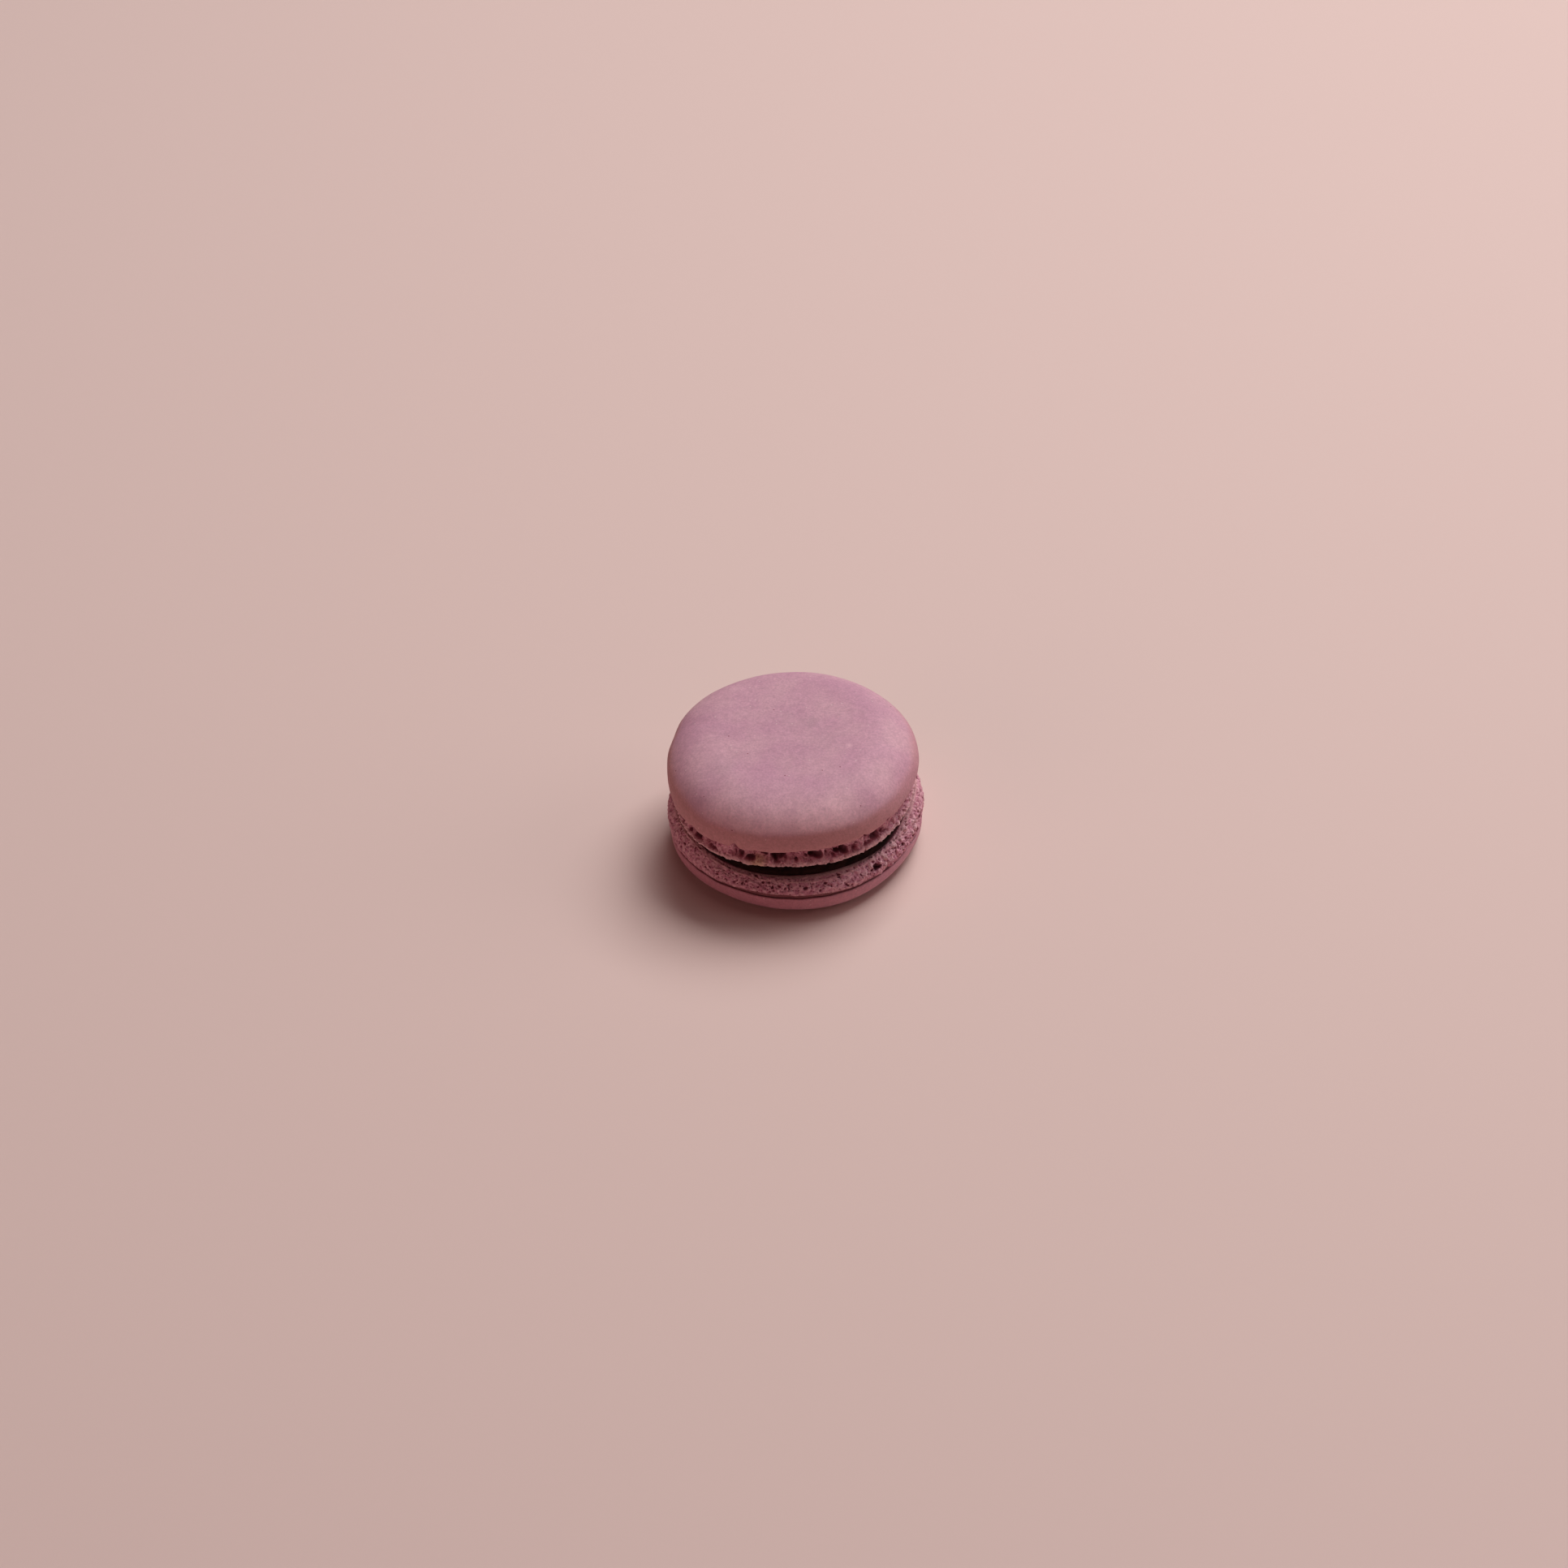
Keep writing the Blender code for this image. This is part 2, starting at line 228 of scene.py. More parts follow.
def grid_piece(name, points, marks=None):
    """Closed mesh of rings, from points in rows and columns.

    The first and last rows are drawn together into one point each. marks are named values, one
    for each point of the grid, for the material to read.
    """
    rows, columns = points.shape[:2]

    def closed(values):
        inner = values[1:-1].reshape((rows - 2) * columns, -1)
        ends = [values[row].reshape(columns, -1).mean(axis=0, keepdims=True) for row in (0, -1)]
        return np.concatenate([ends[0], inner, ends[1]])

    places = closed(points)
    here = np.arange(columns)
    after = (here + 1) % columns
    ring = 1 + columns * np.arange(rows - 3)[:, None]
    corners = (ring + here, ring + columns + here, ring + columns + after, ring + after)
    quads = np.stack(corners, axis=-1).reshape(-1)
    last = 1 + columns * (rows - 3)
    top = np.stack([0 * here, 1 + here, 1 + after], axis=-1).reshape(-1)
    under = np.stack([0 * here + len(places) - 1, last + after, last + here], axis=-1).reshape(-1)
    loops = np.concatenate([quads, top, under])
    starts = np.concatenate([
        np.arange(0, len(quads), 4),
        np.arange(len(quads), len(loops), 3),
    ])

    mesh = bpy.data.meshes.new(name)
    mesh.vertices.add(len(places))
    mesh.vertices.foreach_set("co", places.astype(np.float32).ravel())
    mesh.loops.add(len(loops))
    mesh.loops.foreach_set("vertex_index", loops.astype(np.int32))
    mesh.polygons.add(len(starts))
    mesh.polygons.foreach_set("loop_start", starts.astype(np.int32))
    mesh.polygons.foreach_set("use_smooth", np.ones(len(starts), dtype=bool))
    mesh.update(calc_edges=True)
    for mark, values in (marks or {}).items():
        kept = closed(np.broadcast_to(values, (rows, columns))).astype(np.float32).ravel()
        mesh.attributes.new(mark, "FLOAT", "POINT").data.foreach_set("value", kept)
    piece = bpy.data.objects.new(name, mesh)
    bpy.context.scene.collection.objects.link(piece)
    print(f"{name}: {len(quads) // 2 + 2 * columns} triangles")
    return piece


def around(columns):
    """Azimuths of a row of columns, as an array of one row."""
    return np.linspace(-math.pi, math.pi, columns, endpoint=False)[None, :]


def run(start, end, count):
    """Even steps from start up to, and not counting, end."""
    return np.linspace(start, end, count, endpoint=False)


# %% [markdown]
# ## The sizes of the solid model
# The dressed pieces have to lie on the solids, so the sizes and formulas that shape the solids
# come again here. Nothing new is decided: a cap is a superellipse turned about the axis, and
# three slow waves take it out of round.

# %% Sizes, all in metres and radians
CAP_RADIUS = 22.45 * MM
SHARPNESS = 2.2
LOWER_CAP_RADIUS = 22.3 * MM
LOWER_SHOULDER = 6.0 * MM
LOWER_SHARPNESS = 2.6
LOWER_BELLY = 0.2 * MM
REST_RADIUS = 9.0 * MM
CREASE_HEIGHT = 4.5 * MM
CREASE_DEPTH = 0.35 * MM
LOWER_FOOT_RADIUS = 22.6 * MM
LEDGE_HEIGHT = 8.0 * MM
LEDGE_SWELL = 0.4 * MM
LEDGE_SWELL_CREST = math.radians(-35.0)
LEDGE_RADIUS = 21.4 * MM
FOOT_TURN = math.radians(140.0)
LIP_HEIGHT = 11.5 * MM
LIP_RADIUS = 21.65 * MM
LIP_ROUNDING = 0.25 * MM
HOLLOW = 0.3 * MM
CAVE_RADIUS = 21.15 * MM
SKIN_HEIGHT = 4.0 * MM
SKIN_LEAN = 0.35 * MM
SKIN_RADIUS = 22.15 * MM
WIDEST_HEIGHT = 5.0 * MM
DOME_HEIGHT = 7.35 * MM
UPPER_SHOULDER = 9.2 * MM
CROWN = 0.3 * MM
UPPER_SHIFT = -0.26 * MM
UPPER_LEAN_X = math.radians(1.5)
UPPER_LEAN_Y = math.radians(-0.55)
SLOT_LEFT = (math.radians(-106.0), math.radians(-180.0))
SLOT_RIGHT = (math.radians(-38.0), math.radians(-6.0))
SHUT_SLOT = 0.45 * MM
FILLING_RADIUS_OPEN = 21.0 * MM
FILLING_RADIUS_SHUT = 17.5 * MM
FILLING_BULGE = 0.45 * MM
FILLING_SPREAD = 2.5
TOUCH_GAP = 0.3 * MM
UPPER_OUTLINE = ((3, 0.14 * MM, 5.0), (4, 0.16 * MM, 39.0), (5, 0.15 * MM, 10.0))
LOWER_OUTLINE = ((3, 0.15 * MM, 31.0), (4, 0.20 * MM, 9.0), (5, 0.07 * MM, -1.0))
PRESSED_FLATS = ((162.0, 11.0, 0.25 * MM), (119.0, 20.0, 0.15 * MM))

# %% [markdown]
# ## The formulas of the solid model
# These turn a radius, an azimuth and a height into a place on the solids, for whole arrays at
# once. The feet meet at the back and stand open at the front, and the upper shell leans a little.

# %% Formulas of the solid model, for whole arrays


def away_from(azimuth, middle):
    """How far an azimuth is from another, in degrees, the short way round."""
    return np.abs((np.degrees(azimuth) - middle + 180.0) % 360.0 - 180.0)


def superellipse(part, reach, rise, sharpness):
    """Quarter of one: powers of cosine and sine. Part 0 is its widest ring, part 1 its top."""
    outward = reach * np.cos(part * math.pi / 2.0).clip(0.0) ** (2.0 / sharpness)
    return outward, rise * np.sin(part * math.pi / 2.0) ** (2.0 / sharpness)


def outline(azimuth, waves):
    """An outline's size beside its circle: one plus a few cosines of the azimuth."""
    swell = sum(d * np.cos(n * (azimuth - math.radians(crest))) for n, d, crest in waves)
    return 1.0 + swell / CAP_RADIUS


def openness(azimuth):
    """1 where the slot stands open, 0 where the feet meet, eased at both ends."""
    left = smooth((azimuth - SLOT_LEFT[1]) / (SLOT_LEFT[0] - SLOT_LEFT[1]))
    right = smooth((azimuth - SLOT_RIGHT[1]) / (SLOT_RIGHT[0] - SLOT_RIGHT[1]))
    return np.where(azimuth > 0.0, 0.0, left * right)


def upper_plane(radius, azimuth):
    """Height of the upper lip's plane, which leans a little about both axes."""
    x = radius * np.cos(azimuth) - UPPER_SHIFT
    y = radius * np.sin(azimuth)
    return LIP_HEIGHT + x * math.tan(-UPPER_LEAN_Y) + y * math.tan(UPPER_LEAN_X)


def dish(radius):
    """Hollow of the upper shell's underside: deepest on the axis, none at the lip."""
    return HOLLOW * (1.0 - smooth(radius / LIP_RADIUS))


def lower_rise(azimuth):
    """How much taller the lower foot is than at the front: it meets the lip where it is shut."""
    shut = upper_plane(LEDGE_RADIUS, azimuth) - SHUT_SLOT - LEDGE_HEIGHT
    swell = LEDGE_SWELL * np.cos(azimuth - LEDGE_SWELL_CREST)
    return shut + (swell - shut) * openness(azimuth)


def lean_upper(radius, azimuth, height):
    """Turn the upper shell by its two small leans and set it on its shifted place."""
    x, y = radius * np.cos(azimuth), radius * np.sin(azimuth)
    cx, sx = math.cos(UPPER_LEAN_X), math.sin(UPPER_LEAN_X)
    cy, sy = math.cos(UPPER_LEAN_Y), math.sin(UPPER_LEAN_Y)
    y, z = cx * y - sx * height, sx * y + cx * height
    x, z = cy * x + sy * z, cy * z - sy * x
    return np.stack([x + UPPER_SHIFT, y, z + LIP_HEIGHT], axis=-1)


def points_of(radius, azimuth, height):
    """Radius, azimuth and height as x, y, z."""
    azimuth = np.broadcast_to(azimuth, radius.shape)
    return np.stack([radius * np.cos(azimuth), radius * np.sin(azimuth), height], axis=-1)


print("slot open over", int((openness(around(360)) > 0.5).sum()), "degrees")

# %% [markdown]
# ## The upper cap
# The cap is the part that dried before it baked, so it is smooth, matte and closed: no pores, only
# the slow rise and fall of the batter under its skin. It could be a sphere scaled flat, but a real
# cap is fuller at the shoulder than a squashed sphere, which is what the superellipse gives. The
# skin ends in a thin edge that is turned under, a little above the foot, and hangs over it.

# %% Build the upper cap
BATTER_LUMPS = ((9.0 * MM, 0.11 * MM), (3.4 * MM, 0.030 * MM), (1.1 * MM, 0.010 * MM))
SKIN_WAVER = 0.22 * MM
EDGE_NOTCHES = ((-118.5, 3.0, 1.0), (-57.8, 2.2, 0.5), (-43.0, 3.0, 0.7), (-142.0, 3.5, 0.6))
# The side where the rim band is strongest, the left front: oven browning and painted shade.
BROWNED_AND_SHADED_SIDE = math.radians(-130.0)
BRUISES = (  # azimuth in degrees, radius and size in millimetres, strength
    (35.0, 4.8, 1.4, 0.26),
    (-149.0, 20.5, 0.9, 0.10),
    (-146.0, 14.8, 2.6, 0.16),
    (98.0, 4.0, 2.2, 0.08),
    (-20.0, 6.0, 3.0, 0.12),
)
# Pale spots. The strong ones along the front shoulder, from -128 to -70 degrees, are a painted
# highlight that keeps the shoulder as light as the top. The smaller ones elsewhere are pale scuffs.
SCUFFS_AND_PAINTED_HIGHLIGHTS = (
    (123.0, 16.7, 1.5, 0.30),
    (-100.0, 21.2, 4.5, 0.72),
    (-70.0, 21.4, 4.5, 0.75),
    (-128.0, 21.4, 3.5, 0.50),
    (-115.0, 21.4, 2.6, 0.45),
    (-85.0, 21.3, 2.6, 0.50),
    (-176.0, 22.2, 3.0, 0.30),
    (-146.0, 18.6, 2.0, 0.22),
    (-10.0, 18.0, 6.0, 0.20),
    (-38.0, 20.5, 3.5, 0.32),
    (-158.0, 20.5, 3.0, 0.20),
    (-22.0, 11.0, 0.5, 0.60),
)


def pressed(azimuth, height):
    """Two shallow flats in the shoulder: eased to nothing at their edges and at the rim."""
    on_shoulder = smooth((height - WIDEST_HEIGHT + 1.0 * MM) / (3.0 * MM))
    flats = [d * (1.0 - smooth(away_from(azimuth, a) / w)) for a, w, d in PRESSED_FLATS]
    return on_shoulder * sum(flats)


def soft_spots(radius, azimuth, spots):
    """Soft round spots: e to the minus square of the distance from each, over its size."""
    total = 0.0
    for degrees, middle, size, strength in spots:
        a = math.radians(degrees)
        along = radius * np.cos(azimuth) - middle * MM * math.cos(a)
        across = radius * np.sin(azimuth) - middle * MM * math.sin(a)
        total = total + strength * np.exp(-(along**2 + across**2) / (size * MM) ** 2)
    return total


def upper_cap_profile():
    """Rings of the cap: flat of the dome, superellipse shoulder, turned edge, hidden underside."""
    flat_radius = CAP_RADIUS - UPPER_SHOULDER
    out, up = superellipse(run(1.0, 0.0, 64), UPPER_SHOULDER, DOME_HEIGHT, SHARPNESS)
    below = np.linspace(0.0, 1.0, 9)
    radius = [run(0.0, flat_radius, 46), flat_radius + out]
    height = [np.full(46, DOME_HEIGHT), up]
    swell = CROWN * (1.0 - (np.concatenate(radius) / CAP_RADIUS) ** 2)
    height = [np.concatenate(height) + swell + WIDEST_HEIGHT]
    radius.append(SKIN_RADIUS + (CAP_RADIUS - SKIN_RADIUS) * np.cos(below * math.pi / 2.0))
    height.append(WIDEST_HEIGHT - (WIDEST_HEIGHT - SKIN_HEIGHT) * below)
    radius.append(np.array([22.02, 21.80, 21.45, 21.0, 20.0, 10.0, 0.0]) * MM)
    height.append(np.array([3.90, 3.87, 3.95, 4.2, 4.6, 4.7, 4.7]) * MM)
    return np.concatenate(radius)[:, None], np.concatenate(height)[:, None]


def uneven_upper(radius, azimuth, height):
    """Outline waves, pressed flats and the leaning skin edge, as the solid has them."""
    out = smooth(radius / (15.0 * MM))
    near_skin = 1.0 - smooth(np.abs(height - SKIN_HEIGHT) / (3.0 * MM))
    radius = radius * (1.0 + (outline(azimuth, UPPER_OUTLINE) - 1.0) * out)
    radius = radius - pressed(azimuth, height) * out
    return radius, height + SKIN_LEAN * np.cos(azimuth) * near_skin * out


def make_upper_cap():
    """The upper cap, with batter lumps along its normal and a wavering lower edge."""
    azimuth = around(560)
    radius, height = upper_cap_profile()
    down, outward = -np.gradient(height, axis=0), np.gradient(radius, axis=0)
    length = np.hypot(down, outward)
    radius, height = uneven_upper(radius, azimuth, height)
    height = height + 0.0 * azimuth
    points = points_of(radius, azimuth, height)
    bumps = sum(d * soft_noise(points, size, 40 + i) for i, (size, d) in enumerate(BATTER_LUMPS))
    radius = radius + bumps * down / length
    height = height + bumps * outward / length
    edge = smooth(1.0 - np.abs(height - SKIN_HEIGHT) / (1.3 * MM)) * (radius > 20.5 * MM)
    torn = SKIN_WAVER * (lumps(points, 2.6 * MM, 51) + 0.6 * lumps(points, 0.9 * MM, 54))
    for degrees, width, depth in EDGE_NOTCHES:
        torn = torn + depth * MM * (1.0 - smooth(away_from(azimuth, degrees) / width))
    height = height + torn * edge

    # The rim band is warmer and darker towards the rim. It is partly oven browning and partly
    # painted shade, most on the shaded left front, and it reaches higher at the back as a painted
    # warm sheen where the skin turns away.
    browned_and_shaded = smooth((np.cos(azimuth - BROWNED_AND_SHADED_SIDE) + 0.45) / 0.9)
    fore = smooth(0.5 - 0.5 * np.sin(azimuth))
    band = (10.8 - 1.9 * fore + 0.7 * lumps(points, 5.0 * MM, 52)) * MM - height
    marks = {"rim": smooth(band / (2.0 * MM)) * (0.46 + 0.39 * browned_and_shaded) * (radius > 10.0 * MM)}
    on_top = smooth((height - 7.2 * MM) / (1.4 * MM)) * (1.0 + 0.5 * lumps(points, 1.6 * MM, 53))
    # Bruises, and pale spots that are partly scuffs and partly a painted highlight on the front
    # shoulder, only on the top of the cap.
    for mark, spots in (("bruise", BRUISES), ("scuffs_and_painted_light", SCUFFS_AND_PAINTED_HIGHLIGHTS)):
        marks[mark] = soft_spots(radius, azimuth, spots) * on_top
    return grid_piece("top_cap", lean_upper(radius, azimuth, height), marks)


top_cap = make_upper_cap()

# %% [markdown]
# ## The upper foot
# Under the skin the batter boiled and set as a sponge. From the front it shows a row of burst
# bubbles, caves about a millimetre across, just under the skin, with thin walls between them, and
# a paler crumbly lip along the bottom. A bump in the material would leave the outline smooth, so
# the caves are cut into the surface itself: each one is where the face lies inside a sphere.

# %% Build the upper foot
UPPER_CAVES = (  # azimuth in degrees, height over the lip and radius in millimetres
    (-118.7, 3.3, 0.80),
    (-100.3, 1.9, 0.85),
    (-81.9, 2.3, 0.68),
    (-70.1, 1.9, 0.66),
    (-58.0, 3.6, 0.55),
    (-43.0, 3.4, 0.32),
    (-140.0, 3.0, 0.70),
    (-150.0, 2.2, 0.55),
)
CALM_MIDDLE = -22.0  # around this azimuth, in degrees, the sponge has few caves
CALM_REACH = 48.0
RAISED_LIP = -138.0  # around this azimuth the lip lies a little higher
TOASTED = ((-108.4, 21.2, 1.25, 1.3),)  # azimuth, radius and size as for a stain, strength


def face_of(radius, height):
    """Unit normal of a profile: a step along it, turned a quarter turn outward."""
    down, outward = -np.gradient(height, axis=0), np.gradient(radius, axis=0)
    length = np.hypot(down, outward) + 1e-9
    return down / length, outward / length


def placed_caves(points, caves, radius_at):
    """Depth of the caves that have a place of their own, as for the scattered bubbles."""
    depth = np.zeros(points.shape[:-1])
    for degrees, height, size in caves:
        a = math.radians(degrees)
        middle = np.array([radius_at * math.cos(a), radius_at * math.sin(a), height * MM])
        away2 = ((points - middle) ** 2).sum(axis=-1)
        depth = np.maximum(depth, (size * MM) ** 2 - away2)
    return np.sqrt(depth)


def upper_foot_profile():
    """Rings of the foot: hidden top, drawn-in face that flares to the lip, hollow underside."""
    face = np.linspace(0.0, 1.0, 56)
    radius = [np.array([0.0, 10.0, 18.0, 20.4]) * MM]
    height = [np.array([4.7, 4.7, 4.65, 4.6]) * MM]
    radius.append(CAVE_RADIUS + (LIP_RADIUS - CAVE_RADIUS) * face**2)
    height.append(4.4 * MM + (2.0 * LIP_ROUNDING - 4.4 * MM) * face)
    turn = np.linspace(0.0, 1.0, 8)[1:] * math.pi / 2.0
    radius.append(LIP_RADIUS - LIP_ROUNDING * (1.0 - np.cos(turn)))
    height.append(2.0 * LIP_ROUNDING * (1.0 - np.sin(turn)))
    under = np.array([0.983, 0.975, 0.965, 0.95, 0.92, 0.85, 0.6, 0.3, 0.0])
    radius.append(under * LIP_RADIUS)
    height.append(dish(under * LIP_RADIUS))
    return np.concatenate(radius)[:, None], np.concatenate(height)[:, None]


def make_upper_foot():
    """The upper foot: sponge, caves and pores along its normal, and a ragged lip."""
    azimuth = around(1280)
    radius, height = upper_foot_profile()
    out_r, out_z = face_of(radius, height)
    on_face = smooth((radius - 20.6 * MM) / (0.5 * MM)) * smooth((4.35 * MM - height) / (0.3 * MM))
    above_lip = smooth((height - 0.35 * MM) / (1.0 * MM))
    near_lip = smooth(1.0 - height / (1.3 * MM)) * on_face
    radius, height = uneven_upper(radius, azimuth, height)
    height = height + 0.0 * azimuth
    points = points_of(radius, azimuth, height)

    loose = stirred(points, 1.1 * MM, 0.34 * MM, 60)
    tall = points * np.array([1.0, 1.0, 0.45])
    ridge = smooth((lumps(tall, 1.5 * MM, 59) + 0.05) / 0.35)
    calm = smooth(1.0 - away_from(azimuth, CALM_MIDDLE) / CALM_REACH)
    under_skin = smooth((height - 0.7 * MM) / (1.2 * MM))
    recess = (0.95 - 0.75 * ridge) * (1.0 - 0.4 * calm) * under_skin * MM
    crumbs = 0.16 * lumps(points, 1.3 * MM, 61) + 0.13 * lumps(points, 0.5 * MM, 62)
    crumbs = (crumbs + 0.07 * soft_noise(points, 0.24 * MM, 68)) * MM
    crumbs = crumbs + 0.8 * bubbles(loose, 0.62 * MM, 0.15, 0.48, 58, share=0.7)
    caves = softened(bubbles(loose, 2.1 * MM, 0.26, 0.56, 63, share=0.75), 0.5 * MM)
    placed = softened(placed_caves(loose, UPPER_CAVES, CAVE_RADIUS), 0.3 * MM)
    caves = np.maximum(caves * (1.0 - 0.9 * calm), 1.9 * placed) * above_lip
    pores = softened(bubbles(loose, 0.85 * MM, 0.22, 0.52, 64, share=0.55), 0.2 * MM)
    specks = burst(loose, 0.40 * MM, 0.18 * MM, 0.12, 0.6, 65)
    depth = np.maximum(caves, pores) + specks
    move = (crumbs - depth - recess) * on_face
    radius = radius + move * out_r
    height = height + move * out_z * above_lip
    ragged = 0.28 * lumps(points, 1.5 * MM, 66) + 0.18 * lumps(points, 0.5 * MM, 67)
    ragged = ragged + 0.22 * smooth(1.0 - away_from(azimuth, RAISED_LIP) / 24.0)
    height = height + ragged * MM * near_lip

    # Deeper places in caves, pores and the recess under the skin turn redder and then dark with
    # painted shade.
    pit = smooth((depth + 0.35 * recess) / (1.0 * MM)) * on_face
    marks = {"pit": pit, "lip": near_lip, "sponge": on_face, "strip": 0.0 * on_face}
    marks["toasted"] = soft_spots(radius, azimuth, TOASTED) * smooth((2.6 * MM - height) / (1.2 * MM))
    return grid_piece("top_foot", lean_upper(radius, azimuth, height), marks)


top_foot = make_upper_foot()

# %% [markdown]
# ## The lower foot
# The lower shell lies on its cap, so its foot is the upper half of it. The sponge is finer here:
# many small pores, coarser and lumpier on the right. Above the sponge runs a ledge that slopes a
# little outward, where the shell lay on the baking sheet. The sponge's holes run some way up on
# it, and its inner part, under the upper lip, is painted dark as shade. Below the sponge is a
# narrow smooth strip, painted dark red as the shade of the crease, and then the crease where the
# cap begins.

# %% Build the lower foot
LOWER_HOLES = (  # azimuth in degrees, height over the floor and radius in millimetres
    (-52.0, 7.0, 0.80),
    (-50.0, 6.7, 0.55),
    (-76.0, 6.7, 0.42),
    (-87.0, 6.8, 0.42),
    (-62.0, 6.1, 0.40),
    (-97.0, 6.2, 0.40),
    (-125.0, 6.3, 0.40),
    (-12.0, 7.6, 0.55),
)
CREASE_WAVER = 0.30 * MM  # how far the crease rises and falls, then the strip above it
STRIP_HEIGHT = 0.95 * MM
STRIP_LEAST = 0.15 * MM
STRIP_MIDDLE = -98.0
STRIP_REACH = 60.0
COARSE_MIDDLE = -38.0  # around this azimuth the sponge is coarse and lumpy
LEDGE_SLOPE_FROM = 19.9 * MM  # radius where the ledge begins to slope, and how far it falls
LEDGE_DROP = 0.35 * MM
LEDGE_SPONGE_FROM = 20.5 * MM  # the sponge on the ledge: inner radius and strength
LEDGE_SPONGE = 0.85
LEDGE_SHADE_RADIUS = 20.45 * MM  # inside this radius the ledge is painted dark, as shade under the upper lip
FACE_TOP = LEDGE_HEIGHT - LEDGE_DROP


def crease_waver(azimuth, height):
    """Rise and fall of the crease: lumps along its ring, fading out 2 mm above and below."""
    ring = points_of(LOWER_CAP_RADIUS + 0.0 * azimuth, azimuth, CREASE_HEIGHT + 0.0 * azimuth)
    wave = lumps(ring, 8.0 * MM, 82) + 0.5 * soft_noise(ring, 2.4 * MM, 83)
    return CREASE_WAVER * wave * (1.0 - smooth(np.abs(height - CREASE_HEIGHT) / (2.0 * MM)))


def lower_foot_profile():
    """Rings: top face and a ledge that falls away as a square, bulging face, hidden underside."""
    radius = [np.array([0.0, 6.0, 12.0, 17.0]) * MM, run(18.5 * MM, LEDGE_RADIUS, 25)]
    slope = ((radius[1] - LEDGE_SLOPE_FROM) / (LEDGE_RADIUS - LEDGE_SLOPE_FROM)).clip(0.0)
    height = [np.full(4, LEDGE_HEIGHT), LEDGE_HEIGHT - LEDGE_DROP * slope**2]
    face = np.linspace(0.0, 1.0, 44)
    bottom = CREASE_HEIGHT + CREASE_DEPTH
    radius.append(LEDGE_RADIUS + (LOWER_FOOT_RADIUS - LEDGE_RADIUS) * np.sin(face * FOOT_TURN))
    height.append(FACE_TOP + (bottom - FACE_TOP) * face)
    radius.append(np.array([22.0, 21.8, 21.3, 15.0, 0.0]) * MM)
    height.append(np.array([4.7, 4.5, 4.3, 3.8, 3.8]) * MM)
    return np.concatenate(radius)[:, None], np.concatenate(height)[:, None]


def uneven_lower(radius, azimuth, height):
    """Outline waves, and the foot's rise to the lip beside the open slot."""
    in_foot = smooth((height - CREASE_HEIGHT) / (FACE_TOP - CREASE_HEIGHT))
    is_top = (height > FACE_TOP) & (radius < LEDGE_RADIUS)
    rise = lower_rise(azimuth) * np.where(is_top, (radius / LEDGE_RADIUS) ** 3, in_foot)
    out = smooth((radius - REST_RADIUS) / (LOWER_CAP_RADIUS - REST_RADIUS))
    radius = radius * (1.0 + (outline(azimuth, LOWER_OUTLINE) - 1.0) * out)
    return radius, height + rise


